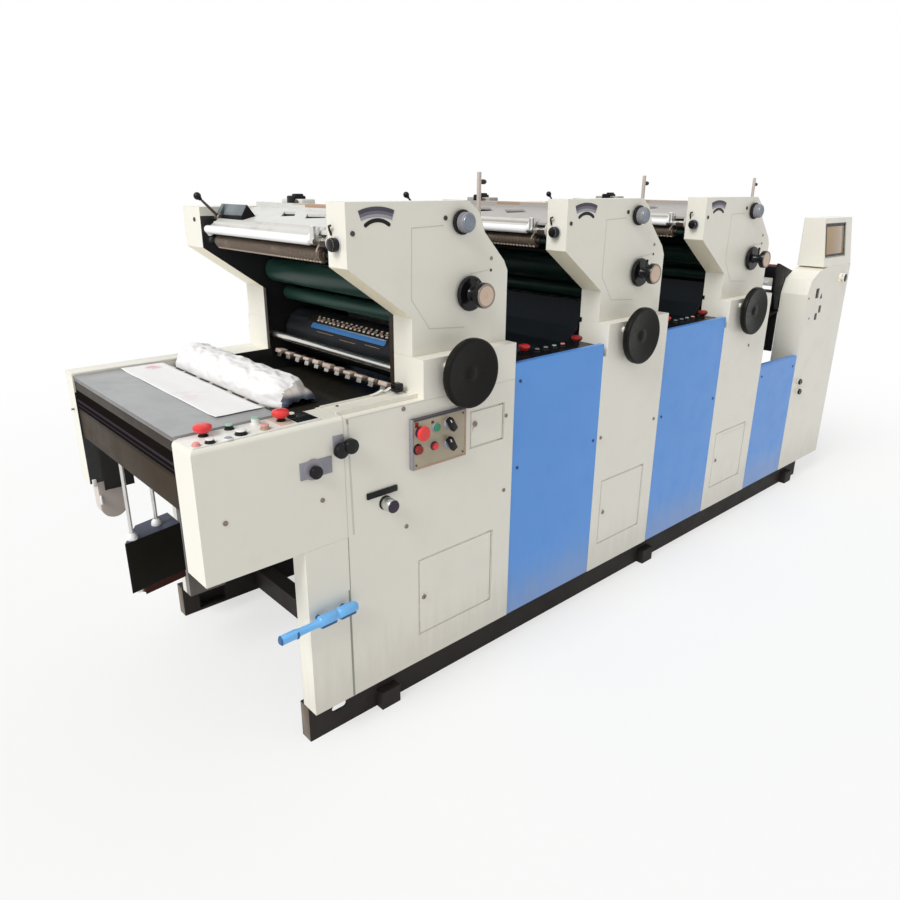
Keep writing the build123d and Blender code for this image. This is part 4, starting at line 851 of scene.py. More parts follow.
    plastic("knob grey", (0.24, 0.24, 0.26), rough=(0.3, 0.45), scuff=0.2, shine=0.3)
    plastic("blue screw", (0.030, 0.075, 0.20), rough=(0.35, 0.5), scuff=0.2, shine=0.3)
    plastic("seam dark", (0.10, 0.095, 0.085), rough=(0.5, 0.6), scuff=0.2, shine=0.2)
    plastic("seam grey", (0.30, 0.295, 0.25), rough=(0.5, 0.6), scuff=0.2, shine=0.3)
    plastic("seam pale", (0.62, 0.60, 0.53), rough=(0.5, 0.6), scuff=0.2, shine=0.3)
    plastic("step shade", (0.030, 0.105, 0.25), rough=(0.3, 0.45), scuff=0.2, shine=0.3)
    plastic("hose clear", (0.38, 0.36, 0.33), rough=(0.2, 0.35), scuff=0.1)
    plastic("white plastic", (0.80, 0.80, 0.77), rough=(0.3, 0.45))
    plastic("lip white", (0.88, 0.88, 0.88), rough=(0.3, 0.45), scuff=0.05)
    plastic("step blue", (0.17, 0.48, 0.90), rough=(0.28, 0.42), scuff=0.2)
    plastic("blanket blue", (0.05, 0.20, 0.50), rough=(0.35, 0.5), scuff=0.3, shine=0.3)
    plastic("label grey", (0.32, 0.31, 0.36), rough=(0.35, 0.5), scuff=0.25)
    plastic("dial tan", (0.62, 0.47, 0.36), rough=(0.4, 0.55), scuff=0.2)
    plastic("screen glass", (0.38, 0.26, 0.14), rough=(0.08, 0.14), scuff=0.03)
    roller_rubber("green rubber", (0.022, 0.070, 0.052), (0.05, 0.13, 0.11))
    # Painted shade: the rollers of the second and third units and the inner rollers are darker copies of the
    # green rubber, for the shade deep in the press.
    roller_rubber("shaded rubber", (0.006, 0.020, 0.014), (0.014, 0.04, 0.03), shine=0.15)
    roller_rubber("shaded inner rubber", (0.008, 0.022, 0.018), (0.02, 0.04, 0.035), shine=0.15)
    blanket_finish()
    paper_finish()


def paper_finish():
    """Plain paper, the fold of the wrap in painted shade, and paper with two faint pink blots of set-off ink.
    """
    tree, shader = new_finish("plain paper")
    place = object_place(tree)
    fibre = noise_node(tree, place, 900.0, 3.0, 0.6)
    stain = remap(tree, noise_node(tree, place, 9.0, 5.0, 0.6), 0.52, 0.8, 0.0, 0.35)
    aged = mix_colour(tree, stain, (0.84, 0.83, 0.82), (0.70, 0.63, 0.58))
    tree.links.new(aged, shader.inputs["Base Color"])
    shader.inputs["Roughness"].default_value = 0.8
    tree.links.new(bump(tree, fibre, 0.2, 0.0002), shader.inputs["Normal"])
    # Painted shade on the fold: dark blue below, grey-beige above.
    tree, shader = new_finish("shaded paper")
    place = object_place(tree)
    rise = remap(tree, axis_of(tree, "Z"), 0.996, 1.012)
    blot = remap(tree, noise_node(tree, place, 26.0, 4.0, 0.6), 0.40, 0.66)
    upper = mix_colour(tree, blot, (0.56, 0.52, 0.47), (0.34, 0.33, 0.34))
    lower = mix_colour(tree, blot, (0.045, 0.055, 0.085), (0.12, 0.14, 0.19))
    tree.links.new(mix_colour(tree, rise, lower, upper), shader.inputs["Base Color"])
    shader.inputs["Roughness"].default_value = 0.7
    shader.inputs["Specular IOR Level"].default_value = 0.3
    crumple = noise_node(tree, place, 300.0, 3.0, 0.6)
    tree.links.new(bump(tree, crumple, 0.3, 0.0004), shader.inputs["Normal"])
    tree, shader = new_finish("printed paper")
    place = object_place(tree)
    fibre = noise_node(tree, place, 900.0, 3.0, 0.6)
    cloud = noise_node(tree, place, 34.0, 4.0, 0.6)
    face = (0.88, 0.875, 0.865, 1.0)
    for x, y, radius, amount, tone in ((-45, 790, 26, 0.8, (0.78, 0.30, 0.44)),
                                       (-100, 409, 60, 0.30, (0.80, 0.50, 0.58))):
        away = tree.nodes.new("ShaderNodeVectorMath")
        away.operation = "DISTANCE"
        tree.links.new(place, away.inputs[0])
        away.inputs[1].default_value = ((x - ROW_ORIGIN.x) * MM, (y - ROW_ORIGIN.y) * MM, TABLE_TOP * MM)
        near = remap(tree, away.outputs["Value"], radius * 0.3 * MM, radius * 1.4 * MM, amount, 0.0)
        face = mix_colour(tree, math_node(tree, "MULTIPLY", near, remap(tree, cloud, 0.4, 0.62)), face, tone)
    tree.links.new(face, shader.inputs["Base Color"])
    shader.inputs["Roughness"].default_value = 0.75
    tree.links.new(bump(tree, fibre, 0.2, 0.0002), shader.inputs["Normal"])


NODE_FINISH = {
    "base_beams": "black enamel", "cross_members": "black enamel", "floor_lugs": "black enamel",
    "operator_cover_1": "cream enamel", "operator_cover_2": "cream enamel",
    "operator_cover_3": "cream enamel",
    "drive_covers": "cream enamel", "operator_housings": "cream enamel", "drive_housings": "cream enamel",
    "access_door_1": "cream enamel", "access_door_2": "cream enamel", "access_door_3": "cream enamel",
    "control_door": "cream enamel", "blue_panels": "blue enamel", "ink_ducts": "bright steel",
    "top_decks": "deck grey with painted reflection", "inner_rollers": "shaded inner rubber", "transfer_hoods": "guard sheet with painted highlight",
    "button_trays": "black enamel", "delivery_boxes": "box cream", "delivery_table": "grey sheet",
    "delivery_fascia": "fascia brown", "chain_cover": "dark sheet", "delivery_legs": "cream enamel",
    "guide_rods": "bright steel", "round_guard": "guard and shaded plate", "pile_carriage": "carriage",
    "gripper_row": "bright steel", "control_box": "tan panel", "delivery_controls": "dark sheet",
    "step_bar": "step blue", "feeder_sides": "cream enamel", "feeder_console": "cream enamel",
    "feeder_head": "dark sheet", "feed_board": "black enamel", "feeder_pile": "grey sheet",
    "deck_fittings": "box grey", "paper_wrap": "plain paper", "printed_sheet": "printed paper",
}
for number in (1, 2, 3):
    NODE_FINISH[f"blanket_cylinder_{number}"] = "blanket"
    NODE_FINISH[f"handwheel_{number}"] = "black plastic"
    rubber = "green rubber" if number == 1 else "shaded rubber"
    NODE_FINISH[f"upper_form_roller_{number}"] = rubber
    NODE_FINISH[f"lower_form_roller_{number}"] = rubber
    NODE_FINISH[f"ink_knob_{number}"] = "turned aluminium"
    NODE_FINISH[f"register_knob_{number}"] = "black plastic"
    NODE_FINISH[f"throw_lever_{number}"] = "black ball"


def dress_nodes():
    """Gives every solid of the press its finish."""
    for name, obj in frame["nodes"].items():
        obj.data.materials.clear()
        obj.data.materials.append(FINISH[NODE_FINISH[name]])
        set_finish(obj, obj.get("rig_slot") or slot_of(name))


def slot_of(name):
    for row in frame["record"]["subparts"]:
        if row["node"] == name:
            return row["material_slot"]
    return None


# Controls
def mushroom(piece, x, y, z, finish="red plastic", head=22.0):
    """A stop button on a level face: a flat cap that narrows downwards over a dark stem."""
    piece.add(turned((x, y, z), UP, [(12, 0), (12, 3), (9, 4), (9, 14)], 24), "black plastic")
    cap = [(0, 9), (12, 9), (head - 4, 13), (head - 0.6, 18), (head, 22), (head - 1, 26), (head - 5, 28.6),
           (8, 29.4), (0, 29.6)]
    piece.add(turned((x, y, z), UP, cap, 36), finish)


def push_button(piece, x, y, z, finish, body="black plastic", radius=9.0, height=9.0):
    """A push button standing on a level face, in a collar of its own colour."""
    collar = [(0, 0), (radius + 2.5, 0), (radius + 2.5, 2), (radius + 1, 3.5), (0, 3.5)]
    piece.add(turned((x, y, z), UP, collar, 24), body)
    stem = [(0, 3), (radius, 3), (radius, height - 3), (0, height - 3)]
    piece.add(turned((x, y, z), UP, stem, 24), body)
    cap = [(0, height - 3), (radius, height - 3), (radius, height - 1.5), (radius - 1.5, height),
           (0, height + 0.4)]
    piece.add(turned((x, y, z), UP, cap, 24), finish)


def wall_button(piece, x, z, face, radius, reach, finish, collar="bright steel"):
    """A button on an upright face, looking at the operator."""
    ring = [(0, 0), (radius * 1.3, 0), (radius * 1.3, 2), (radius * 1.12, 4), (0, 4)]
    piece.add(turned((x, face, z), NEAR, ring, 28), collar)
    cap = [(0, 0), (radius, 0), (radius, reach - 2), (radius - 2, reach), (0, reach + 0.4)]
    piece.add(turned((x, face, z), NEAR, cap, 28), finish)


def round_knob(piece, x, z, face, radius, reach, finish="black ball"):
    """A smooth round knob on an upright face, with a softly rounded rim and a short neck."""
    shape = [(0, 0), (radius * 0.45, 0), (radius * 0.45, reach * 0.25), (radius * 0.9, reach * 0.3),
             (radius, reach * 0.42), (radius, reach - 4), (radius - 1.2, reach - 1.4), (radius - 4, reach),
             (0, reach)]
    piece.add(turned((x, face, z), NEAR, shape, 36), finish)


def turned_block(piece, place, size, lean, finish, edge):
    """A small block on an upright face, turned about the press's cross axis."""
    solid = block((-size[0] / 2, size[0] / 2), (-size[1] / 2, size[1] / 2), (-size[2] / 2, size[2] / 2))
    bmesh.ops.rotate(solid, cent=(0, 0, 0), matrix=Matrix.Rotation(lean, 3, "Y"), verts=solid.verts)
    bmesh.ops.translate(solid, vec=place, verts=solid.verts)
    piece.add(solid, finish, edge)


DELIVERY_STOPS = ((-202, 78), (-7, 62))
DELIVERY_PUSHES = (
    (-243, 24, "pink plastic", "pink plastic", 8.0, 8.0),
    (-210, 24, "white plastic", "black plastic", 10.0, 11.0),
    (-168, 20, "label grey", "ledge cream", 9.0, 5.0),
    (-133, 86, "pale green", "black plastic", 9.5, 13.0),
    (-129, 33, "white plastic", "black plastic", 13.0, 12.0),
    (-67, 81, "pale green", "white plastic", 9.5, 18.0),
    (-68, 30, "pink plastic", "brown bar", 10.0, 13.0),
    (33, 81, "white plastic", "black plastic", 9.0, 9.0),
)


def make_delivery_buttons():
    """The operator's buttons on the delivery box and the black knobs on its side."""
    piece = Piece("delivery_buttons")
    top = BOX_TOP + 3
    piece.add(block((-256, 80), (12, 100), (BOX_TOP, top)), "ledge cream", 0.8)
    piece.add(block((16, 76), (22, 98), (top - 0.3, top + 0.6)), "black plastic", 0.3)
    piece.add(block((-28, 12), (26, 100), (top - 0.3, top + 0.4)), "pale tan", 0.2)
    for x, y in DELIVERY_STOPS:
        mushroom(piece, x, y, top)
    for x, y, finish, body, radius, height in DELIVERY_PUSHES:
        push_button(piece, x, y, top, finish, body, radius, height)
    for x, z in (((0, 94), (840, 886)), ((100, 132), (889, 936))):
        piece.add(block(x, (-3, 0), z), "mottled plate", 0.8)
    disc = [(0, 0), (28, 0), (28, 0.5), (21, 0.5), (0, 0.5)]
    piece.add(turned((38, -3, 862), NEAR, disc, 40), "scale light")
    round_knob(piece, 38, 858, -3.5, 17.5, 20.5)
    round_knob(piece, 116, 897, 0, 20.5, 24)
    round_knob(piece, 143, 905, 0, 20.5, 30)
    return piece.done(slot="black_plastic", replaces=["delivery_controls"])


def make_control_box():
    """The push-button box on the first cover, with the air knob and bar below it."""
    piece = Piece("push_button_box")
    piece.add(block((353, 553), (-14, 0), (782, 925)), "tan panel", 1.6)
    # Painted shadow: the mottled strip down the left and the violet strip along the top darken those edges,
    # as though the box's face were sunk in the cover.
    piece.add(block((350.5, 356), (-15, 0), (779, 928)), "mottled plate", 0.8)
    piece.add(block((356, 553), (-15, 0), (922, 928)), "scale violet", 0.8)
    piece.add(block((356, 556), (-14.8, 0), (778, 784)), "brown bar", 0.8)
    piece.add(block((550, 556), (-14.8, 0), (784, 926)), "brown bar", 0.8)
    face = -14
    collar = [(0, 0), (17, 0), (17, 3), (13, 5), (13, 14), (0, 14)]
    piece.add(turned((378, face, 889), NEAR, collar, 28), "dark violet")
    cap = [(0, 9), (14, 9), (20, 13), (21.5, 17), (21.5, 21), (19, 24), (9, 26), (0, 26.2)]
    piece.add(turned((378, face, 889), NEAR, cap, 36), "red plastic")
    wall_button(piece, 437, 891, face, 11, 11, "green plastic", "label grey")
    wall_button(piece, 369, 840, face, 12.5, 14, "dark red plastic", "black plastic")
    wall_button(piece, 430, 837, face, 10, 12, "red plastic", "dark violet")
    piece.add(block((360, 372), (face - 2, face), (905, 920)), "dark red plastic", 0.8)
    piece.add(block((420, 429), (face - 1.5, face), (905, 913)), "dark violet", 0.8)
    for z, lean in ((893, -0.55), (834, -0.5)):
        dial = [(0, 0), (17, 0), (17, 3), (14, 6), (0, 6)]
        piece.add(turned((484, face, z), NEAR, dial, 32), "label grey")
        turned_block(piece, (486, face - 14, z), (20, 18, 42), lean, "black ball", 3.0)
        turned_block(piece, (476, face - 23.4, z + 13), (3, 1, 10), lean, "white plastic", 0.3)
    corners = [(x, face - 0.6, z) for x in (364, 543) for z in (792, 913)]
    piece.grow("screw heads", "dark steel", corners, Radius=3.0, Height=1.6)
    x, z = 262, 704
    piece.add(turned((x, 0, z), NEAR, [(0, 0), (21, 0), (21, 2), (15, 4), (0, 4)], 32), "black plastic")
    body = [(0, 3), (17, 3), (19, 8), (19.6, 14), (19.6, 36), (18.6, 38), (0, 38)]
    piece.add(turned((x, 0, z), NEAR, body, 40), "pale chrome")
    front = [(18.4, 37.5), (18.8, 39.5), (17.6, 41.6), (6, 42.6), (0, 42.8)]
    piece.add(turned((x, 0, z), NEAR, [(0, 37.5), *front], 40), "dark violet")
    piece.add(block((199, 303), (-6, 0), (730, 748)), "black plastic", 1.4)
    return piece.done(slot="tan_panel", replaces=["control_box"])


TRAY_BUTTONS = ((1, "mottled plate"), (2, "mottled plate"), (3, "pale green"), (4, "pink plastic"))


def make_tray_buttons():
    """The strips of buttons behind the blue panels, with their stop buttons."""
    piece = Piece("tray_buttons")
    for unit in (0, 1):
        x0, x1 = along(unit, 789), along(unit, 1220)
        piece.add(block((x0, x1), (22, 132), (982, TRAY_TOP)), "guard black", 1.5)
        mushroom(piece, x0 + 135, 100, TRAY_TOP, "red plastic", 20.0)
        mushroom(piece, x1 - 46, 80, TRAY_TOP, "dark red plastic", 20.0)
        for i, finish in TRAY_BUTTONS:
            push_button(piece, x0 + 138 + 44 * i, 84, TRAY_TOP, finish, "black plastic", 8.0, 12.0)
        screws = [(x, y, TRAY_TOP + 0.8) for x in (x0 + 16, x1 - 16) for y in (42, 116)]
        piece.grow("screw heads", "dark steel", screws, Radius=3.4, Height=1.6, Facing=UP)
    return piece.done(slot="dark_sheet", replaces=["button_trays"])


# Turning pieces on the operator's side
def make_handwheel(unit):
    """The black wheel with its rounded rim, shallow dish and small hub."""
    piece = Piece(f"wheel_{unit + 1}")
    centre = (along(unit, SHAFT[0]), 0, SHAFT[1])
    back = [(0, 12), (27, 12), (27, 20), (91, 20), (97, 21.5), (101, 25), (102, 29)]
    rim = [(102, 39), (101, 43), (98, 45.4), (93, 46)]
    dish = [(90, 45.4), (84, 44.4), (60, 41), (34, 37.5), (22, 36.4), (19, 37.5), (17, 40), (12, 42),
            (0, 42.2)]
    piece.add(turned(centre, NEAR, back + rim + dish, 80), "wheel black")
    return piece.done(f"cylinder_{unit + 1}", "black_plastic", [f"handwheel_{unit + 1}"])


def make_ink_knob(unit):
    """A grey knob with fine ribs on a black skirt, its front turned in rings."""
    piece = Piece(f"ink_dial_{unit + 1}")
    x, z = along(unit, INK_KNOB[0]), INK_KNOB[1]
    centre = (x, 0, z)
    piece.add(bar((x, 44, z), (x, 78, z), 6), "bright steel")
    skirt = [(0, -43), (33, -43), (34, -40), (34, -36), (31, -33), (0, -33)]
    piece.add(turned(centre, NEAR, skirt, 44), "black plastic")
    body = [(0, -34), (27, -34), (27, -15), (25, -11.5), (23, -11)]
    piece.add(turned(centre, NEAR, [*body, (0, -11)], 40), "knob grey")
    front = [(23, -11.2), (22, -9), (19, -8.6), (18, -9.8), (14, -9.8), (13, -8.8), (10, -8.8), (9, -10),
             (0, -10)]
    piece.add(turned(centre, NEAR, front, 40), "knob front")
    piece.grow("block ring", "knob grey", Count=40, Centre=(x, 24.0, z), Radius=27.0, Start=0.0,
               Step=2 * math.pi / 40, Size=(1.6, 17.0, 1.4))
    return piece.done(f"ink_knob_{unit + 1}", "aluminium", [f"ink_knob_{unit + 1}"])


def make_register_knob(unit):
    """The black disc, its neck and small handle, and the round tan face in front."""
    piece = Piece(f"register_dial_{unit + 1}")
    x, z = along(unit, REGISTER_KNOB[0]), REGISTER_KNOB[1]
    centre = (x, 0, z)
    piece.add(bar((x, 44, z), (x, 78, z), 6), "bright steel")
    disc = [(0, -43), (47, -43), (50, -40), (50, -33), (47, -29), (22, -28), (18, -22), (18, 7), (0, 7)]
    piece.add(turned(centre, NEAR, disc, 56), "black ball")
    piece.grow("block ring", "black ball", Count=44, Centre=(x, 36.5, z), Radius=49.6, Start=0.0,
               Step=2 * math.pi / 44, Size=(2.4, 6.0, 2.0))
    piece.add(block((x - 3, x + 3), (8, 14), (z + 16, z + 46)), "dark steel", 1)
    piece.add(ball((x, 11, z + 43), 5), "black ball")
    dial = [(0, 7), (33, 7), (36, 10), (36, 25), (34.5, 28)]
    piece.add(turned(centre, NEAR, [*dial, (0, 28)], 48), "black ball")
    piece.add(turned(centre, NEAR, [(34.5, 27), (34, 29), (31.5, 29.6), (29, 28.6)], 48), "screw steel")
    plaque = [(30, 28.4), (24, 28.9), (10, 29.2), (9, 28.8), (0, 29.0)]
    piece.add(turned(centre, NEAR, plaque, 48), "dial tan")
    piece.add(turned(centre, NEAR, [(6.5, 28.6), (6.5, 29.5), (5, 29.8), (0, 29.8)], 24), "pale tan")
    return piece.done(f"register_knob_{unit + 1}", "black_plastic", [f"register_knob_{unit + 1}"])


def make_lever(unit):
    """The bent steel lever with its black ball."""
    piece = Piece(f"lever_{unit + 1}")
    x, z = along(unit, LEVER_PIVOT[0]), LEVER_PIVOT[1]
    tip = (along(unit, LEVER_TIP[0]), LEVER_Y, LEVER_TIP[1])
    hub = [(0, -8), (13, -8), (14, -7), (14, 7), (13, 8), (0, 8)]
    piece.add(turned((x, LEVER_Y, z), NEAR, hub, 28), "screw steel")
    piece.add(bar((x, LEVER_Y, z), (x, 908, z), 6), "bright steel")
    shaft = [(5, 0), (4.6, 40), (3.8, 80), (3.8, 95)]
    run = Vector(tip) - Vector((x, LEVER_Y, z))
    piece.add(turned((x, LEVER_Y, z), run, shaft, 16), "dark steel")
    piece.add(ball(tip, 12), "black ball")
    piece.add(turned(tip, -run, [(0, 6), (7, 8), (6, 14), (4, 15)], 20), "black ball")
    return piece.done(f"lever_{unit + 1}", "black_plastic", [f"throw_lever_{unit + 1}"])


def drum_band(unit, start, end, low, high, y):
    """A strip bent round the drum between two angles and two radii."""
    centre = (along(unit, SHAFT[0]), SHAFT[1])
    return plate(arc_points(centre, high, start, end, 8) + arc_points(centre, low, end, start, 8), y)


def make_blanket_clamp():
    """The blanket's blue edge on the first drum, with the speckled clamp row above it."""
    piece = Piece("blanket_clamp")
    near, far_end = 290, 705
    piece.add(drum_band(0, -63, -51, DRUM_SKIN, 81.0, (near, far_end)), "blanket blue", 0.4)
    piece.add(turned((along(0, SHAFT[0]) - 67.5, near, SHAFT[1] + 43.5), (0.84, 0, -0.54),
                     [(0, -0.5), (9.5, -0.5), (9.5, 0.9), (0, 0.9)], 24), "blanket blue")
    piece.add(drum_band(0, -51, -48.5, DRUM_SKIN, 81.4, (near - 6, far_end)), "pale chrome", 0.3)
    piece.add(drum_band(0, -48.5, -20, DRUM_SKIN, 80.8, (near - 20, far_end + 40)), "dark sheet", 0.3)
    centre = Vector((along(0, SHAFT[0]), 0, SHAFT[1]))
    rows = (("ledge cream", -42, 17, (6.0, 11.0, 2.2), 0.0), ("brown bar", -36, 14, (7.0, 16.0, 2.4), 9.0),
            ("ledge cream", -30, 15, (5.0, 9.0, 2.4), 15.0), ("pink plastic", -40, 6, (5.0, 8.0, 2.6), 31.0),
            ("dark sheet", -26, 12, (6.0, 20.0, 2.6), 4.0))
    for finish, degrees, count, size, shift in rows:
        a = math.radians(degrees)
        start = centre + Vector((81 * math.sin(a), near + shift, 81 * math.cos(a)))
        piece.grow("block row", finish, Count=count, Start=tuple(start), Size=size, Turn=(0.0, a, 0.0),
                   Step=(0.0, (far_end - near) / count, 0.0))
    for degrees, low, high in ((-70, 300, 380), (-74, 430, 520), (-69, 560, 660)):
        piece.add(drum_band(0, degrees - 1.2, degrees, DRUM_SKIN + 0.1, 80.5, (low, high)), "brown bar")
    return piece.done("cylinder_1", "blanket")


# Housings and covers
SCALE_BANDS = ((161, 171, "scale violet"), (153, 161.2, "scale middle"), (145.5, 153.2, "scale light"))
COVER_OUTLINE = ((520, 1437), (407, 1433), (404, 1246), (468, 1160), (602, 1149))


def make_housing_marks():
    """The curved scales, slots, screws and faint cover outlines on the operator's housings."""
    piece = Piece("housing_marks")
    face = HOUSING_FACE
    for unit in UNITS:
        x = along(unit, 294)
        for inner, outer, finish in SCALE_BANDS:
            piece.add(arc_band((x, 1318), inner, outer, 19.3, (face - 1.2, face)), finish, 0.3)
        piece.add(arc_band((x + 2, 1392), 59, 69, 35, (face - 0.8, face), 20, True), "black plastic")
        screws = [(along(unit, 219), face - 1, 1426), (along(unit, 526), face - 1, 1456)]
        piece.grow("screw heads", "dark steel", screws, Radius=6.6, Height=2.4)
        upper, lower = (along(unit, 707), face - 0.5, 1339), (along(unit, 706), face - 0.5, 1305)
        piece.grow("screw heads", "screw steel", [upper], Radius=6.0, Height=1.0)
        piece.grow("screw heads", "dark steel", [lower], Radius=4.6, Height=1.0)
        piece.grow("block row", "seam pale", Count=9, Start=(along(unit, 626), face - 0.2, 1301.0),
                   Step=(8.2, 0.0, 0.6), Size=(6.0, 0.4, 2.4))
        for (xa, za), (xb, zb) in zip(COVER_OUTLINE, COVER_OUTLINE[1:]):
            run = Vector((xb - xa, 0, zb - za))
            side = Vector((-run.z, 0, run.x)).normalized() * 1.3
            ends = ((xa - side.x, za - side.z), (xb - side.x, zb - side.z), (xb + side.x, zb + side.z),
                    (xa + side.x, za + side.z))
            piece.add(plate([(along(unit, px), pz) for px, pz in ends], (face - 0.3, face)), "seam pale")
    return piece.done(slot="black_plastic")


def seam(piece, start, end, y, width, finish):
    """A soft joint between sheets on an upright face, from one (x, z) place to another."""
    (xa, za), (xb, zb) = start, end
    level = abs(xb - xa) > abs(zb - za)
    dx, dz = (0, width / 2) if level else (width / 2, 0)
    corners = [(xa - dx, za - dz), (xb - dx, zb - dz), (xb + dx, zb + dz), (xa + dx, za + dz)]
    piece.add(plate(corners, y), finish)


OPERATOR_SCREWS = ((741, 860), (741, 606), (336, 606), (332, 963), (61, 770), (-205, 789), (1249, 670),
                   (1592, 672), (2313, 868))
BLUE_SCREWS = ((804, 667), (1207, 668), (1650, 667), (2053, 668), (804, 960), (2500, 690), (2830, 690))


def make_panel_joints():
    """Joints between the sheets and the screws that hold them."""
    piece = Piece("panel_joints")
    for y in ((-0.35, 0.5), (DRIVE_FACE - 0.5, DRIVE_FACE + 0.35)):
        seam(piece, (134, 638), (134, 972), y, 1.6, "seam pale")
        seam(piece, (141, 972), (777, 972), y, 1.2, "seam pale")
    seam(piece, (153, 640), (148, 958), (-0.3, 0.5), 6.0, "seam pale")
    seam(piece, (148, 958), (147, 972), (-0.3, 0.5), 6.0, "brown bar")
    seam(piece, (130.5, 122), (130.5, 476), (-0.5, 0.5), 6.5, "seam grey")
    seam(piece, (134, 476), (134, 638), (-0.4, 0.5), 2.4, "seam grey")
    seam(piece, (1314, 487), (1547, 487), (-0.35, 0.5), 1.6, "seam pale")
    seam(piece, (2183, 470), (2422, 470), (-0.35, 0.5), 1.6, "seam pale")
    near = [(x, -0.8, z) for x, z in OPERATOR_SCREWS]
    piece.grow("screw heads", "screw steel", near, Radius=6.6, Height=2.2)
    far = [(x, DRIVE_FACE + 0.8, z) for x, z in OPERATOR_SCREWS if x > 134]
    piece.grow("screw heads", "screw steel", far, Radius=6.6, Height=2.2, Facing=(0.0, 1.0, 0.0))
    for y, out in ((PANEL_FACE - 0.8, -1.0), (DRIVE_FACE - PANEL_FACE + 0.8, 1.0)):
        panel = [(x, y, z) for x, z in BLUE_SCREWS]
        piece.grow("screw heads", "blue screw", panel, Radius=5.6, Height=2.0, Facing=(0.0, out, 0.0))
    front = [(along(unit, 200) - 1, 922, 1428) for unit in UNITS]
    piece.grow("screw heads", "dark steel", front, Radius=7.0, Height=2.6, Facing=(-1.0, 0.0, 0.0))
    return piece.done(slot="bright_steel")


DOORS = {
    "door_1": (384.0, 690.0, 222.0, 474.0),
    "door_2": (1282.0, 1550.0, 228.0, 486.0),
    "door_3": (2128.0, 2396.0, 228.0, 486.0),
    "control_door": (590.0, 728.0, 790.0, 900.0),
}


def make_door_frames():
    """The cream flange and lips inside each door opening, so that the gap round it is only a faint line."""
    piece = Piece("door_frames")
    for x0, x1, z0, z1 in DOORS.values():
        a, b, c, d = x0 - 5, x1 + 5, z0 - 5, z1 + 5
        for x, z in (((a, b), (c, c + 16)), ((a, b), (d - 16, d)), ((a, a + 16), (c + 16, d - 16)),
                     ((b - 16, b), (c + 16, d - 16))):
            piece.add(block(x, (18, 20), z), "cream enamel")
        for x, z in (((x0 - 4, x0 - 1.3), (z0 - 4, z1 + 4)), ((x1 + 1.3, x1 + 4), (z0 - 4, z1 + 4)),
                     ((x0 - 1.3, x1 - 20), (z0 - 4, z0 - 1.3)), ((x0 - 1.3, x1 - 20), (z1 + 1.3, z1 + 4))):
            piece.add(block(x, (0.6, 14), z), "cream enamel")
    return piece.done(slot="cream_paint")


def make_door_lock(body):
    """The quarter-turn lock on a door, with its key slot."""
    x0, _, z0, z1 = DOORS[body]
    piece = Piece(f"lock_of_{body}")
    x, z = x0 + 14, (z0 + z1) / 2
    if body == "control_door":
        z = 862
    ring = [(0, 3), (8.6, 3), (8.6, 4.6), (7.2, 5.6), (0, 5.6)]
    piece.add(turned((x, 0, z), NEAR, ring, 24), "screw steel")
    piece.add(block((x - 0.9, x + 0.9), (-6.0, -5.4), (z - 4, z + 4)), "black plastic")
    return piece.done(body, "black_plastic")


def make_cover_details():
    """Bosses beside the handwheels, nubs on the cover edges, and the ledge's block, trims and lips."""
    piece = Piece("cover_details")
    for unit in UNITS:
        x = along(unit, 488)
        boss = [(9.3, 0), (9.3, 5), (7.5, 7.6), (0, 7.8)]
        piece.add(turned((x, 0, 1060), NEAR, boss, 28), "cream enamel")
        piece.grow("screw heads", "screw steel", [(x, -8.2, 1060)], Radius=4.0, Height=1.4)
        if unit:
            front = along(unit, 405)
            piece.add(block((front - 4, front), (122, 133), (1080, 1096)), "black plastic", 1.2)
    piece.add(block((362, 390), (69, 97), (986, 1012)), "black ball", 5.0, 3)
    for y in ((INNER_NEAR, INNER_NEAR + 18), (INNER_FAR - 18, INNER_FAR)):
        piece.add(block((404.2, 406.4), y, (978, 1194)), "dark brown")
    for x, y, reach in ((300, 108, 40), (338, 112, 34)):
        rise = [(x + reach * t / 8, 986 + 9 * (t / 8) ** 2) for t in range(9)]
        lip = rise + [(px, pz - 2.4) for px, pz in reversed(rise)]
        piece.add(plate(lip, (y - 9, y + 3)), "ledge cream", 0.6)
    piece.grow("screw heads", "dark steel", [(176, 88, 982.6), (322, 48, 976.0)], Radius=4.2, Height=1.6,
               Facing=UP)
    # Tan end plates on the base beams are painted light on their ends.
    for y in (41, 924):
        piece.add(block((-0.8, 0), (y + 1, y + 44), (1, 119)), "beam end with painted light", 0.4)
    return piece.done(slot="black_plastic")


# Deck and ink duct
def deck_rise(x):
    """Height of the deck's upper face."""
    slope = (DECK_BEND[1] - DECK_START[1]) / (DECK_BEND[0] - DECK_START[0])
    return DECK_START[1] + (min(x, DECK_BEND[0]) - DECK_START[0]) * slope


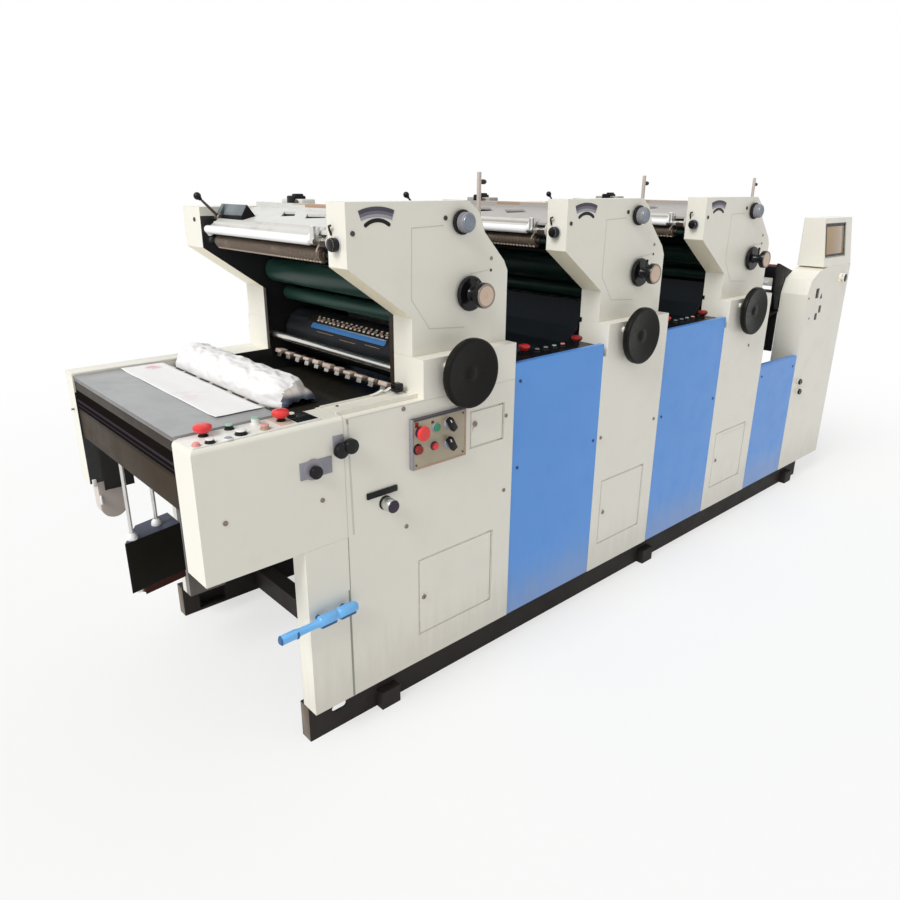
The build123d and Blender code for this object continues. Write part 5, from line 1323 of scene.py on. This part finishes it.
def make_deck_boxes():
    """The lever's box, the duct motor and the post with its small knob, on every deck."""
    piece = Piece("deck_boxes")
    for unit in UNITS:
        outline = [(256, deck_rise(256)), (257, deck_rise(256) + 12), (278, 1478), (304, deck_rise(304))]
        shifted = [(along(unit, x), z) for x, z in outline]
        piece.add(plate(shifted, (706, 830)), "box slate", 1.2)
        piece.add(plate(shifted, (700, 706)), "guard black", 0.8)
        bridge = [(along(unit, x), z) for x, z in outline if x > 260]
        piece.add(plate([(along(unit, 273), deck_rise(273)), *bridge], (830, 858)), "box slate", 0.8)
        piece.add(plate(shifted, (858, 877.8)), "box slate", 1.0)
        # Painted shadow: a thin near-black plate along the foot of the box's end that faces the delivery.
        foot = ((254.6, 1431), (255.4, 1444), (258.2, 1446), (258.2, 1431.5))
        piece.add(plate([(along(unit, x), z) for x, z in foot], (701, 829)), "guard black", 0.5)
        x0, x1 = along(unit, 440), along(unit, 490)
        piece.add(block((x0, x1), (642, 771), (1466, 1494)), "deck grey with painted reflection", 4.0, 3)
        piece.add(block((x0 - 4, x1 - 8), (684, 732), (1471, 1504)), "guard black", 5.0, 3)
        piece.add(block((x0 + 4, x1 - 14), (688, 712), (1480, 1510)), "guard black", 4.0, 3)
        plug = [(0, 0), (9, 0), (9, 3), (6, 5), (0, 5)]
        piece.add(turned((x0 - 2, 671, 1484), (-1, 0, 0), plug, 24), "dark steel")
        x = along(unit, 738)
        piece.add(block((x - 5, x + 5), (132.2, 142), (1290, 1577)), "post steel", 1.0)
        piece.add(bar((x + 4, 137, 1550), (x + 11, 137, 1550), 3.4), "screw steel")
        knob = [(0, 0), (6, 0), (7, 3), (7, 12), (5, 16), (0, 16.5)]
        piece.add(turned((x + 10, 137, 1550), (1, 0, 0), knob, 20), "dark brown")
        crossbar = (along(unit, 403.6), along(unit, 424.4))
        piece.add(block(crossbar, (445, 566), (1472, 1482.6)), "brown bar", 0.8)
        piece.add(block(crossbar, (150, 445), (1479, 1482.6)), "pale tan", 0.4)
        piece.add(block(crossbar, (566, 640), (1479, 1482.6)), "pale tan", 0.4)
    return piece.done(slot="light_grey", replaces=["deck_fittings"])


def make_fountain_rollers():
    """The ribbed sleeve of every fountain roller, dark with old ink, and the dotted bar under it."""
    piece = Piece("fountain_sleeves")
    for unit in UNITS:
        x, z = along(unit, FOUNTAIN_ROLLER[0]), FOUNTAIN_ROLLER[1]
        start, end = INNER_NEAR + 68, INNER_FAR - 68
        ribs, dots = 92, 40
        step = (end - start) / (ribs - 1)
        piece.grow("ring row", "bronze roller", Count=ribs, Start=(x, start, z), Step=(0.0, step, 0.0),
                   Radius=20.0, Width=step * 0.6)
        piece.grow("block row", "pale tan", Count=dots, Start=(x - 9.0, start + 6, 1346.0),
                   Step=(0.0, (end - 12 - start) / (dots - 1), 0.0), Size=(5.0, 8.0, 5.0),
                   Turn=(0.0, 0.6, 0.0))
        piece.add(bar((x + 2, start, 1343), (x + 2, end, 1343), 2.5, 10), "dark brown")
        piece.add(tube([(x - 14, 196, 1396), (x - 16, 208, 1380), (x - 14, 222, 1352)], 3.0, 10), "pale tan")
        for y0, y1 in ((INNER_NEAR + 50, INNER_NEAR + 66), (INNER_FAR - 66, INNER_FAR - 50)):
            piece.add(bar((x, y0, z), (x, y1, z), 13, 24), "dark steel")
    return piece.done(slot="bright_steel")


def make_duct_details():
    """The rolled lip of every ink duct, its polished steel coloured white as a painted reflection, the tray
    behind it, and the black knob on the housing.
    """
    piece = Piece("duct_details")
    for unit in UNITS:
        x = along(unit, 202)
        lip = [(x + 16, 846, 1388), (x + 8, 842, 1397), (x + 1, 834, 1401)]
        lip += [(x, 834 - 610 * t / 20, 1401) for t in range(1, 21)]
        lip += [(x + 1, 214, 1405), (x + 4, 207, 1414), (x + 8, 204, 1428), (x + 10, 203, 1437)]
        # Painted reflection: the polished steel lip is coloured plain white, for the bright surroundings it
        # mirrors.
        piece.add(tube(lip, 12.5, 18), "lip white")
        tray = [(x + 4, 1402), (x + 10, 1412), (x + 42, 1434), (x + 42, 1428), (x + 12, 1404)]
        piece.add(plate(tray, (206, 836)), "duct grey", 0.4)
        boss = (along(unit, 200), 92, 1398)
        disc = [(0, 0), (21, 0), (21, 1.2), (19.5, 2), (0, 2)]
        piece.add(turned(boss, (-1, 0, 0), disc, 32), "box grey")
        knob = [(0, 2), (16.6, 2), (17.6, 5), (17.6, 17), (15.5, 20.6), (11, 22.4), (0, 22.8)]
        piece.add(turned(boss, (-1, 0, 0), knob, 32), "black ball")
        hook = [(199, 112, 1420), (194, 112, 1434), (190, 108, 1442), (190, 100, 1444)]
        piece.add(tube([(along(unit, px), py, pz) for px, py, pz in hook], 3.0, 10), "dark brown")
        end_cap = [(0, 0), (26.2, 0), (26.2, 7), (23, 10.3), (0, 10.3)]
        piece.add(turned((along(unit, 225), 132.3, 1400), (0, 1, 0), end_cap, 32), "post steel")
        piece.add(block((along(unit, 206), along(unit, 214)), (144, 182), (1386, 1402)), "dark brown", 3.0)
    return piece.done(slot="black_plastic")


# Delivery
def in_wrap_shade(place):
    """True on the grey fold at the near end, behind the straight cut of the white paper."""
    return place.y < 172.0 + (place.x - 34.0) * 0.48


def make_wrap():
    """Crumpled paper bundled over the delivery roller, gathered at its ends."""
    drift = Vector((3.1, 7.7, 1.3))
    around, length = 56, 130
    near, far_y = 176.0, 836.0
    bm = bmesh.new()
    rows = []
    for j in range(length + 1):
        s = j / length
        y = near + (far_y - near) * s
        grip = min(1.0, s / 0.10) ** 0.55
        grip_far = min(1.0, (1 - s) / 0.05) ** 0.5
        row = []
        for i in range(around + 1):
            a = math.pi * i / around
            reach = 70.0 * (1 - 0.35 * (1 - grip)) * (0.80 + 0.2 * grip_far)
            rise = 79.0 * (0.22 + 0.78 * grip) * (0.35 + 0.65 * grip_far)
            px = 105.0 + 18 * (1 - grip) - reach * math.cos(a)
            pz = CHAIN_COVER_TOP + 1.2 + rise * math.sin(a) ** 0.72
            spot = Vector((px * 0.012, y * 0.0075, pz * 0.02)) + drift
            fold = noise.noise(spot * 1.6) * 9 + noise.noise(spot * 4.5) * 5
            crease = abs(noise.noise(spot * 3.1 + Vector((9, 2, 5)))) * -8
            lift = math.sin(a) ** 0.7
            out = Vector((-math.cos(a), 0, math.sin(a)))
            place = Vector((px, y, pz)) + out * (fold + crease - 2.5) * (0.25 + 0.75 * lift)
            place.y += noise.noise(spot * 2.0 + Vector((4, 4, 4))) * 9 * (1.0 if 0.02 < s < 0.98 else 0.4)
            if i in (0, around):
                place.z = CHAIN_COVER_TOP + 1.5 + max(0.0, noise.noise(Vector((y * 0.02, i, 0))) * 12)
            place.z = max(place.z, CHAIN_COVER_TOP + 1.0)
            place.x = min(max(place.x, 30.0), 180.0)
            place.y = min(max(place.y, 171.0), 837.0)
            row.append(bm.verts.new(place))
        rows.append(row)
    for low, high in zip(rows, rows[1:]):
        for i in range(around):
            bm.faces.new((low[i], high[i], high[i + 1], low[i + 1]))
    bm.normal_update()
    if sum(f.normal.z * f.calc_area() for f in bm.faces) < 0:
        bmesh.ops.reverse_faces(bm, faces=bm.faces)
    for face in bm.faces:
        face.material_index = 1 if in_wrap_shade(face.calc_center_median()) else 0
        face.smooth = True
    return lay_sheet(bm, "crumpled_paper", ("plain paper", "shaded paper"), 0.8, "paper_wrap")


def lay_sheet(bm, name, finishes, thickness, node):
    """Turns a mesh in millimetres into a sheet of paper of the given thickness."""
    bmesh.ops.translate(bm, vec=-ROW_ORIGIN, verts=bm.verts)
    bmesh.ops.scale(bm, vec=(MM, MM, MM), verts=bm.verts)
    data = bpy.data.meshes.new(name)
    bm.to_mesh(data)
    bm.free()
    for finish in finishes:
        data.materials.append(FINISH[finish])
    obj = bpy.data.objects.new(name, data)
    bpy.context.scene.collection.objects.link(obj)
    wall = obj.modifiers.new("wall", "SOLIDIFY")
    wall.thickness = thickness * MM
    wall.offset = -1.0
    settle(obj, "frame", "paper", [node])
    return obj


def make_loose_sheet():
    """The printed sheet lying on the delivery table, a little wavy and lifted at its corners."""
    bm = bmesh.new()
    columns, lines = 20, 80
    rows = []
    for j in range(lines + 1):
        row = []
        for i in range(columns + 1):
            u, v = i / columns, j / lines
            x, y = -127.0 + 134.0 * u, 171.0 + 665.0 * v
            wave = 1.3 * (0.5 + noise.noise(Vector((x * 0.02, y * 0.008, 2.0))))
            corner = 3.2 * max(0.0, abs(v - 0.5) * 2 - 0.86) / 0.14 * (0.4 + 0.6 * (1 - u))
            row.append(bm.verts.new((x, y, TABLE_TOP + 0.9 + max(0.0, wave) + corner)))
        rows.append(row)
    for low, high in zip(rows, rows[1:]):
        for i in range(columns):
            bm.faces.new((low[i], low[i + 1], high[i + 1], high[i]))
    for face in bm.faces:
        face.smooth = True
    return lay_sheet(bm, "loose_sheet", ("printed paper",), 0.4, "printed_sheet")


def make_delivery_details():
    """The table's edges, the fascia's plates, the far box's cap, a broken line of painted shadow in front of
    the paper wrap, and the clamps below.
    """
    piece = Piece("delivery_details")
    piece.add(block((-263.4, -262), (104.5, 844.5), (950, 978)), "fascia band", 0.5)
    piece.add(block((-264.4, -262), (104.5, 844.5), (979, 989)), "table edge", 0.4)
    # The recess strip's near-black is painted shade.
    piece.add(block((-263.2, -262), (104.5, 844.5), (890, 950)), "shaded fascia recess", 0.3)
    piece.add(block((-263.4, -262), (104.5, 844.5), (797, 890)), "fascia brown", 0.5)
    piece.add(block((-268, 134), (845.5, 910), (TABLE_TOP, CAP_TOP)), "box cream", 1.6)
    piece.add(bar((-268.5, 880, 880), (-276, 880, 880), 3.2, 16), "screw steel")
    # Painted shadow: dark brown blocks with pale tan gaps along the table's edge next to the paper wrap,
    # where its front edge casts its shadow.
    shadow_runs = (52, 18, 74, 30, 60, 26, 90, 34, 66, 22, 58, 40, 46)
    y = 742.0
    for i, run in enumerate(shadow_runs):
        piece.add(block((8.6, 13.5), (y - run, y), (TABLE_TOP, TABLE_TOP + (3.6 if i % 2 == 0 else 1.6))),
                  "dark brown" if i % 2 == 0 else "pale tan", 0.6)
        y -= run
    piece.add(block((-262, -250), (838, 852), (628, 652)), "white plastic", 2.0)
    piece.add(block((-246, -240), (842, 853), (560, 590)), "lip white", 1.6)
    clamp = [(-196, 812, 800), (-196, 808, 770), (-190, 790, 748), (-186, 776, 722)]
    piece.add(tube(clamp, 8.0, 14), "lip white")
    piece.add(block((-206, -184), (796, 824), (786, 800)), "pale tan", 3.0)
    return piece.done(slot="dark_sheet")


def make_carriage_cups():
    """The white cups in which the guide rods end, on top of the pile carriage."""
    piece = Piece("carriage_cups")
    for x, y in ((-234, 621), (-140, 672)):
        profile = [(0, 0), (16, 0), (17, 4), (14, 14), (9, 20), (0, 20)]
        piece.add(turned((x, y, CARRIAGE_TOP), UP, profile, 28), "lip white")
    return piece.done("carriage", "bright_steel")


def lofted(sections, steps=24):
    """A rounded solid through (x, y, z, half depth, half height) sections along the press."""
    squareness = 0.72
    bm = bmesh.new()
    rings = []
    for x, y, z, deep, high in sections:
        ring = []
        for k in range(steps):
            a = 2 * math.pi * k / steps
            c, s = math.cos(a), math.sin(a)
            ring.append(bm.verts.new((x, y + deep * math.copysign(abs(c) ** squareness, c),
                                      z + high * math.copysign(abs(s) ** squareness, s))))
        rings.append(ring)
    for low, high in zip(rings, rings[1:]):
        for k in range(steps):
            j = (k + 1) % steps
            bm.faces.new((low[k], high[k], high[j], low[j]))
    bm.faces.new(rings[0])
    bm.faces.new(rings[-1])
    bmesh.ops.recalc_face_normals(bm, faces=bm.faces)
    return bm


def make_foot_bar():
    """The blue foot bar on the leg: a moulded bar with two pads, a knuckle and dark ends."""
    piece = Piece("foot_bar")

    def rise(x):
        return 431.0 + (x + 108.0) * 7.0 / 244.0

    body = ((-106, 8, 10), (-102, 11, 12.5), (-60, 11, 12.5), (-52, 10, 11), (-44, 9, 10), (2, 9, 10),
            (10, 11, 12), (134, 10, 12), (136, 7, 8))
    y, low_y = FOOT_BAR_Y, FOOT_BAR_Y - 0.6
    piece.add(lofted([(x, y, rise(x), deep, high) for x, deep, high in body]), "step blue")
    for x0, x1 in ((11, 66), (73, 129)):
        pad = ((x0, 10, 13), (x0 + 4, 12.5, 16), (x1 - 5, 12.5, 16), (x1, 10, 13))
        piece.add(lofted([(x, y, rise(x) + 1.5, deep, high) for x, deep, high in pad]), "step blue")
        lower = ((x0 + 3, 9, 4), (x0 + 6, 12, 6), (x1 - 6, 12, 6), (x1 - 2, 9, 4))
        piece.add(lofted([(x, low_y, rise(x) - 11.5, deep, high) for x, deep, high in lower]), "step shade")
    end_cap = [(-108, y, 431, 7, 8), (-105, y, 431, 10, 11.5), (-103, y, 431, 11.6, 13.2)]
    piece.add(lofted(end_cap), "step shade")
    ring = [(-60, low_y, 430.4, 11.6, 12.4), (-55, low_y, 430.6, 11.6, 12.4), (-52, low_y, 430.8, 9, 10)]
    piece.add(lofted(ring), "step shade")
    for x in (24, 104):
        piece.add(bar((x, y + 9, rise(x)), (x, 0, rise(x)), 7, 16), "step shade")
    return piece.done(slot="step_blue", replaces=["step_bar"])


def make_gripper_pads():
    """The worn cream pads of the delivery grippers and the brown cams between them."""
    piece = Piece("gripper_pads")
    pads = 12
    step = (INNER_FAR - INNER_NEAR) / pads
    for i in range(pads):
        y = INNER_NEAR + step * (i + 0.5)
        wide = 38 + 8 * math.sin(i * 2.3)
        deep = 28 + 5 * math.cos(i * 1.7)
        high = 13 + 3 * math.sin(i * 1.1 + 1)
        shift = 4 * math.sin(i * 3.1)
        pad = block((-deep / 2, deep / 2), (-wide / 2, wide / 2), (-high / 2, high / 2))
        lean = Matrix.Rotation(0.25 + 0.12 * math.sin(i), 3, "Y")
        bmesh.ops.rotate(pad, cent=(0, 0, 0), matrix=lean, verts=pad.verts)
        bmesh.ops.translate(pad, vec=(441 + shift * 0.5, y + shift, 968), verts=pad.verts)
        piece.add(pad, "worn cream", 4.0, 3)
        if i < pads - 1:
            piece.add(block((462, 486), (y + step / 2 - 9, y + step / 2 + 9), (938, 964)), "dark brown", 2.5)
            piece.add(block((452, 462), (y + step / 2 - 6, y + step / 2 + 6), (952, 966)), "pale tan", 2.0)
    return piece.done(slot="bright_steel")


# Feeder
def make_suction_head():
    """The feeder's suction head: beam, rail, drum, arms, tubes and cups, and the dark plate below."""
    piece = Piece("suction_head")
    inner = (INNER_NEAR + 0.5, INNER_FAR - 0.5)
    piece.add(block((2790, 2862), inner, (1116, 1160)), "dark sheet", 3.0)
    piece.add(block((2782, 2872), inner, (1076, 1116)), "duct grey", 2.0)
    piece.add(bar((2850, inner[0], 1008), (2850, inner[1], 1008), 42, 40), "mottled plate")
    piece.add(bar((2808, inner[0], 1172), (2808, inner[1], 1172), 7), "dark red plastic")
    piece.add(block((2776, 2800), (140, 260), (1120, 1172)), "guard black", 5.0)
    points = [(2776, 1060), (2776, 1150), (2800, 1186), (2960, 1140), (2960, 960), (2812, 960)]
    for y in ((INNER_NEAR, INNER_NEAR + 14), (INNER_FAR - 14, INNER_FAR)):
        piece.add(plate(points, y), "guard black", 1.5)
    piece.add(block((2872, 2892), inner, (1095, 1116)), "dark sheet", 1.0)
    for i in range(6):
        y = INNER_NEAR + 190 + i * (INNER_FAR - INNER_NEAR - 380) / 5
        rod, cup = [(8, 0), (8, 26), (6, 30), (6, 46)], [(6, 44), (11, 50), (12, 58), (0, 60)]
        piece.add(turned((2884, y, 1100), (0, 0, -1), rod, 20), "bright steel")
        piece.add(turned((2884, y, 1100), (0, 0, -1), cup, 20), "black plastic")
        bend = [(2884, y, 1102), (2880, y, 1150), (2858, y, 1176), (2832, y, 1182), (2815, y, 1168)]
        piece.add(tube(bend, 4.5, 10), "hose clear")
    piece.grow("block row", "ledge cream", Count=9, Start=(2780.0, 180.0, 1096.0), Step=(0.0, 80.0, 0.0),
               Size=(4.0, 26.0, 18.0))
    piece.add(block((2846, 2858), (132, 420), (742, 1000)), "guard black", 1.5)
    return piece.done(slot="dark_sheet", replaces=["feeder_head"])


# Painted shade: the bezel's top and left strips are dark and its bottom and right strips grey, as light falls
# on the sunk screen.
SHADED_SCREEN_FRAME = (((3008, 3254), (1366, 1372), "seam dark"), ((3008, 3254), (1208, 1214), "seam grey"),
                ((3008, 3014), (1214, 1366), "seam dark"), ((3248, 3254), (1214, 1366), "seam grey"))
FEEDER_MARKS = (((2958, 2991), (1016, 1064), "dark brown"), ((2986, 3012), (905, 938), "scale violet"),
                ((3022, 3048), (938, 974), "dark steel"))


def make_console_screen():
    """The screen sunk in the console, with its bezel, and the small marks and knobs on the feeder side."""
    piece = Piece("console_screen")

    def leaning(x, z, depth, thick, finish, edge=0.0):
        bm = block(x, (0, 1), z)
        for v in bm.verts:
            lean = 32.0 * (v.co.z - 1165) / 231.0
            v.co.y = lean + depth + (thick if v.co.y > 0.5 else 0.0)
        piece.add(bm, finish, edge)

    leaning((3014, 3248), (1214, 1366), 2.6, 1.2, "black plastic")
    leaning((3026, 3236), (1224, 1356), 1.6, 1.4, "screen glass", 0.4)
    # The bezel strips carry painted shade on the top and left.
    for x, z, finish in SHADED_SCREEN_FRAME:
        leaning(x, z, -1.2, 3.0, finish, 0.5)
    for x, z, finish in FEEDER_MARKS:
        piece.add(block(x, (-1.0, 0), z), finish, 0.5)
    piece.add(plate([(3014, 1010), (3040, 1010), (3027, 1036)], (-1.0, 0)), "dark brown", 0.3)
    screws = [(2882, -0.8, 1023), (2923, -0.8, 920)]
    piece.grow("screw heads", "screw steel", screws, Radius=5.0, Height=2.0)
    for x, z, radius, reach in ((2928, 594, 15, 16), (2940, 540, 15, 16), (3232, 1099, 24, 26)):
        round_knob(piece, x, z, 0, radius, reach)
    low_top = [(2474, 740), (2845, 740), (2845, 742), (2474, 750)]
    piece.add(plate(low_top, (3, 22)), "blue enamel", 0.6)
    return piece.done(slot="black_plastic")


def make_pieces():
    """Makes every piece, first those that turn."""
    for unit in UNITS:
        make_handwheel(unit)
        make_ink_knob(unit)
        make_register_knob(unit)
        make_lever(unit)
    for body in DOORS:
        make_door_lock(body)
    for make in (
            make_delivery_buttons, make_control_box, make_tray_buttons, make_blanket_clamp,
            make_housing_marks, make_panel_joints, make_door_frames, make_cover_details, make_deck_boxes,
            make_fountain_rollers, make_duct_details, make_wrap, make_loose_sheet, make_delivery_details,
            make_carriage_cups, make_foot_bar, make_gripper_pads, make_suction_head, make_console_screen):
        make()


# Stage, light and camera
def make_stage():
    """A plain pale floor that keeps the press's shadow and runs out to white."""
    bm = bmesh.new()
    bmesh.ops.create_grid(bm, x_segments=1, y_segments=1, size=40.0)
    data = bpy.data.meshes.new("studio_floor")
    bm.to_mesh(data)
    bm.free()
    floor = bpy.data.objects.new("studio_floor", data)
    bpy.context.scene.collection.objects.link(floor)
    m = bpy.data.materials.new("studio floor")
    m.use_nodes = True
    tree = m.node_tree
    shader = next(n for n in tree.nodes if n.type == "BSDF_PRINCIPLED")
    shader.inputs["Base Color"].default_value = (0.86, 0.86, 0.85, 1)
    shader.inputs["Roughness"].default_value = 0.9
    glow = tree.nodes.new("ShaderNodeEmission")
    glow.inputs["Color"].default_value = (1, 1, 1, 1)
    path = tree.nodes.new("ShaderNodeLightPath")
    mix = tree.nodes.new("ShaderNodeMixShader")
    seen = math_node(tree, "MAXIMUM", path.outputs["Is Camera Ray"], path.outputs["Is Glossy Ray"])
    seen = math_node(tree, "MAXIMUM", seen, path.outputs["Is Transmission Ray"])
    reach = tree.nodes.new("ShaderNodeVectorMath")
    reach.operation = "LENGTH"
    tree.links.new(object_place(tree), reach.inputs[0])
    fade = remap(tree, reach.outputs["Value"], 1.9, 5.0, 0.62, 1.0)
    tree.links.new(math_node(tree, "MULTIPLY", seen, fade), mix.inputs[0])
    tree.links.new(shader.outputs[0], mix.inputs[1])
    tree.links.new(glow.outputs[0], mix.inputs[2])
    out = next(n for n in tree.nodes if n.type == "OUTPUT_MATERIAL")
    tree.links.new(mix.outputs[0], out.inputs["Surface"])
    floor.data.materials.append(m)


def make_light():
    """Soft studio light: an even surround and one broad lamp above the delivery end."""
    world = bpy.data.worlds.new("studio")
    bpy.context.scene.world = world
    world.use_nodes = True
    tree = world.node_tree
    ground = next(n for n in tree.nodes if n.type == "BACKGROUND")
    ground.inputs["Color"].default_value = (1, 1, 1, 1)
    path = tree.nodes.new("ShaderNodeLightPath")
    seen = math_node(tree, "MAXIMUM", path.outputs["Is Camera Ray"], path.outputs["Is Glossy Ray"])
    seen = math_node(tree, "MAXIMUM", seen, path.outputs["Is Transmission Ray"])
    strength = math_node(tree, "ADD", math_node(tree, "MULTIPLY", seen, 1.0 - SURROUND), SURROUND)
    tree.links.new(strength, ground.inputs["Strength"])
    key = bpy.data.lights.new("key", "SUN")
    key.energy = KEY_POWER
    key.angle = math.radians(28)
    key_object = bpy.data.objects.new("key", key)
    key_object.rotation_mode = "QUATERNION"
    key_object.rotation_quaternion = Vector(KEY_FROM).to_track_quat("Z", "Y")
    bpy.context.scene.collection.objects.link(key_object)


SURROUND = 0.52
KEY_POWER = 2.3
KEY_FROM = (-0.66, -0.08, 0.62)


def make_camera():
    """The photograph's viewpoint, solved from the press's straight edges."""
    place = Vector((-2.38532, -1.97610, 1.54404))
    turn, pitch, roll = math.radians(-42.29), math.radians(19.71), math.radians(0.41)
    ahead = Vector((-math.sin(turn) * math.cos(pitch), math.cos(turn) * math.cos(pitch), -math.sin(pitch)))
    right = Vector((math.cos(turn), math.sin(turn), 0))
    up = right.cross(ahead)
    right_rolled = math.cos(roll) * right + math.sin(roll) * up
    up_rolled = -math.sin(roll) * right + math.cos(roll) * up
    camera = bpy.data.cameras.new("camera")
    camera.lens, camera.sensor_width = 29.11, 36.0
    camera.shift_x, camera.shift_y = -0.00247, -0.00621
    camera.clip_start, camera.clip_end = 0.05, 100.0
    obj = bpy.data.objects.new("camera", camera)
    turned_to = Matrix((right_rolled, up_rolled, -ahead)).transposed()
    obj.matrix_world = Matrix.Translation(place) @ turned_to.to_4x4()
    bpy.context.scene.collection.objects.link(obj)
    bpy.context.scene.camera = obj


TREE = {
    "screw heads": screw_heads(),
    "block row": block_row(),
    "block ring": block_ring(),
    "ring row": ring_row(),
}
make_finishes()
dress_nodes()
make_pieces()
make_stage()
make_light()
make_camera()
bpy.context.scene.view_settings.view_transform = "Standard"
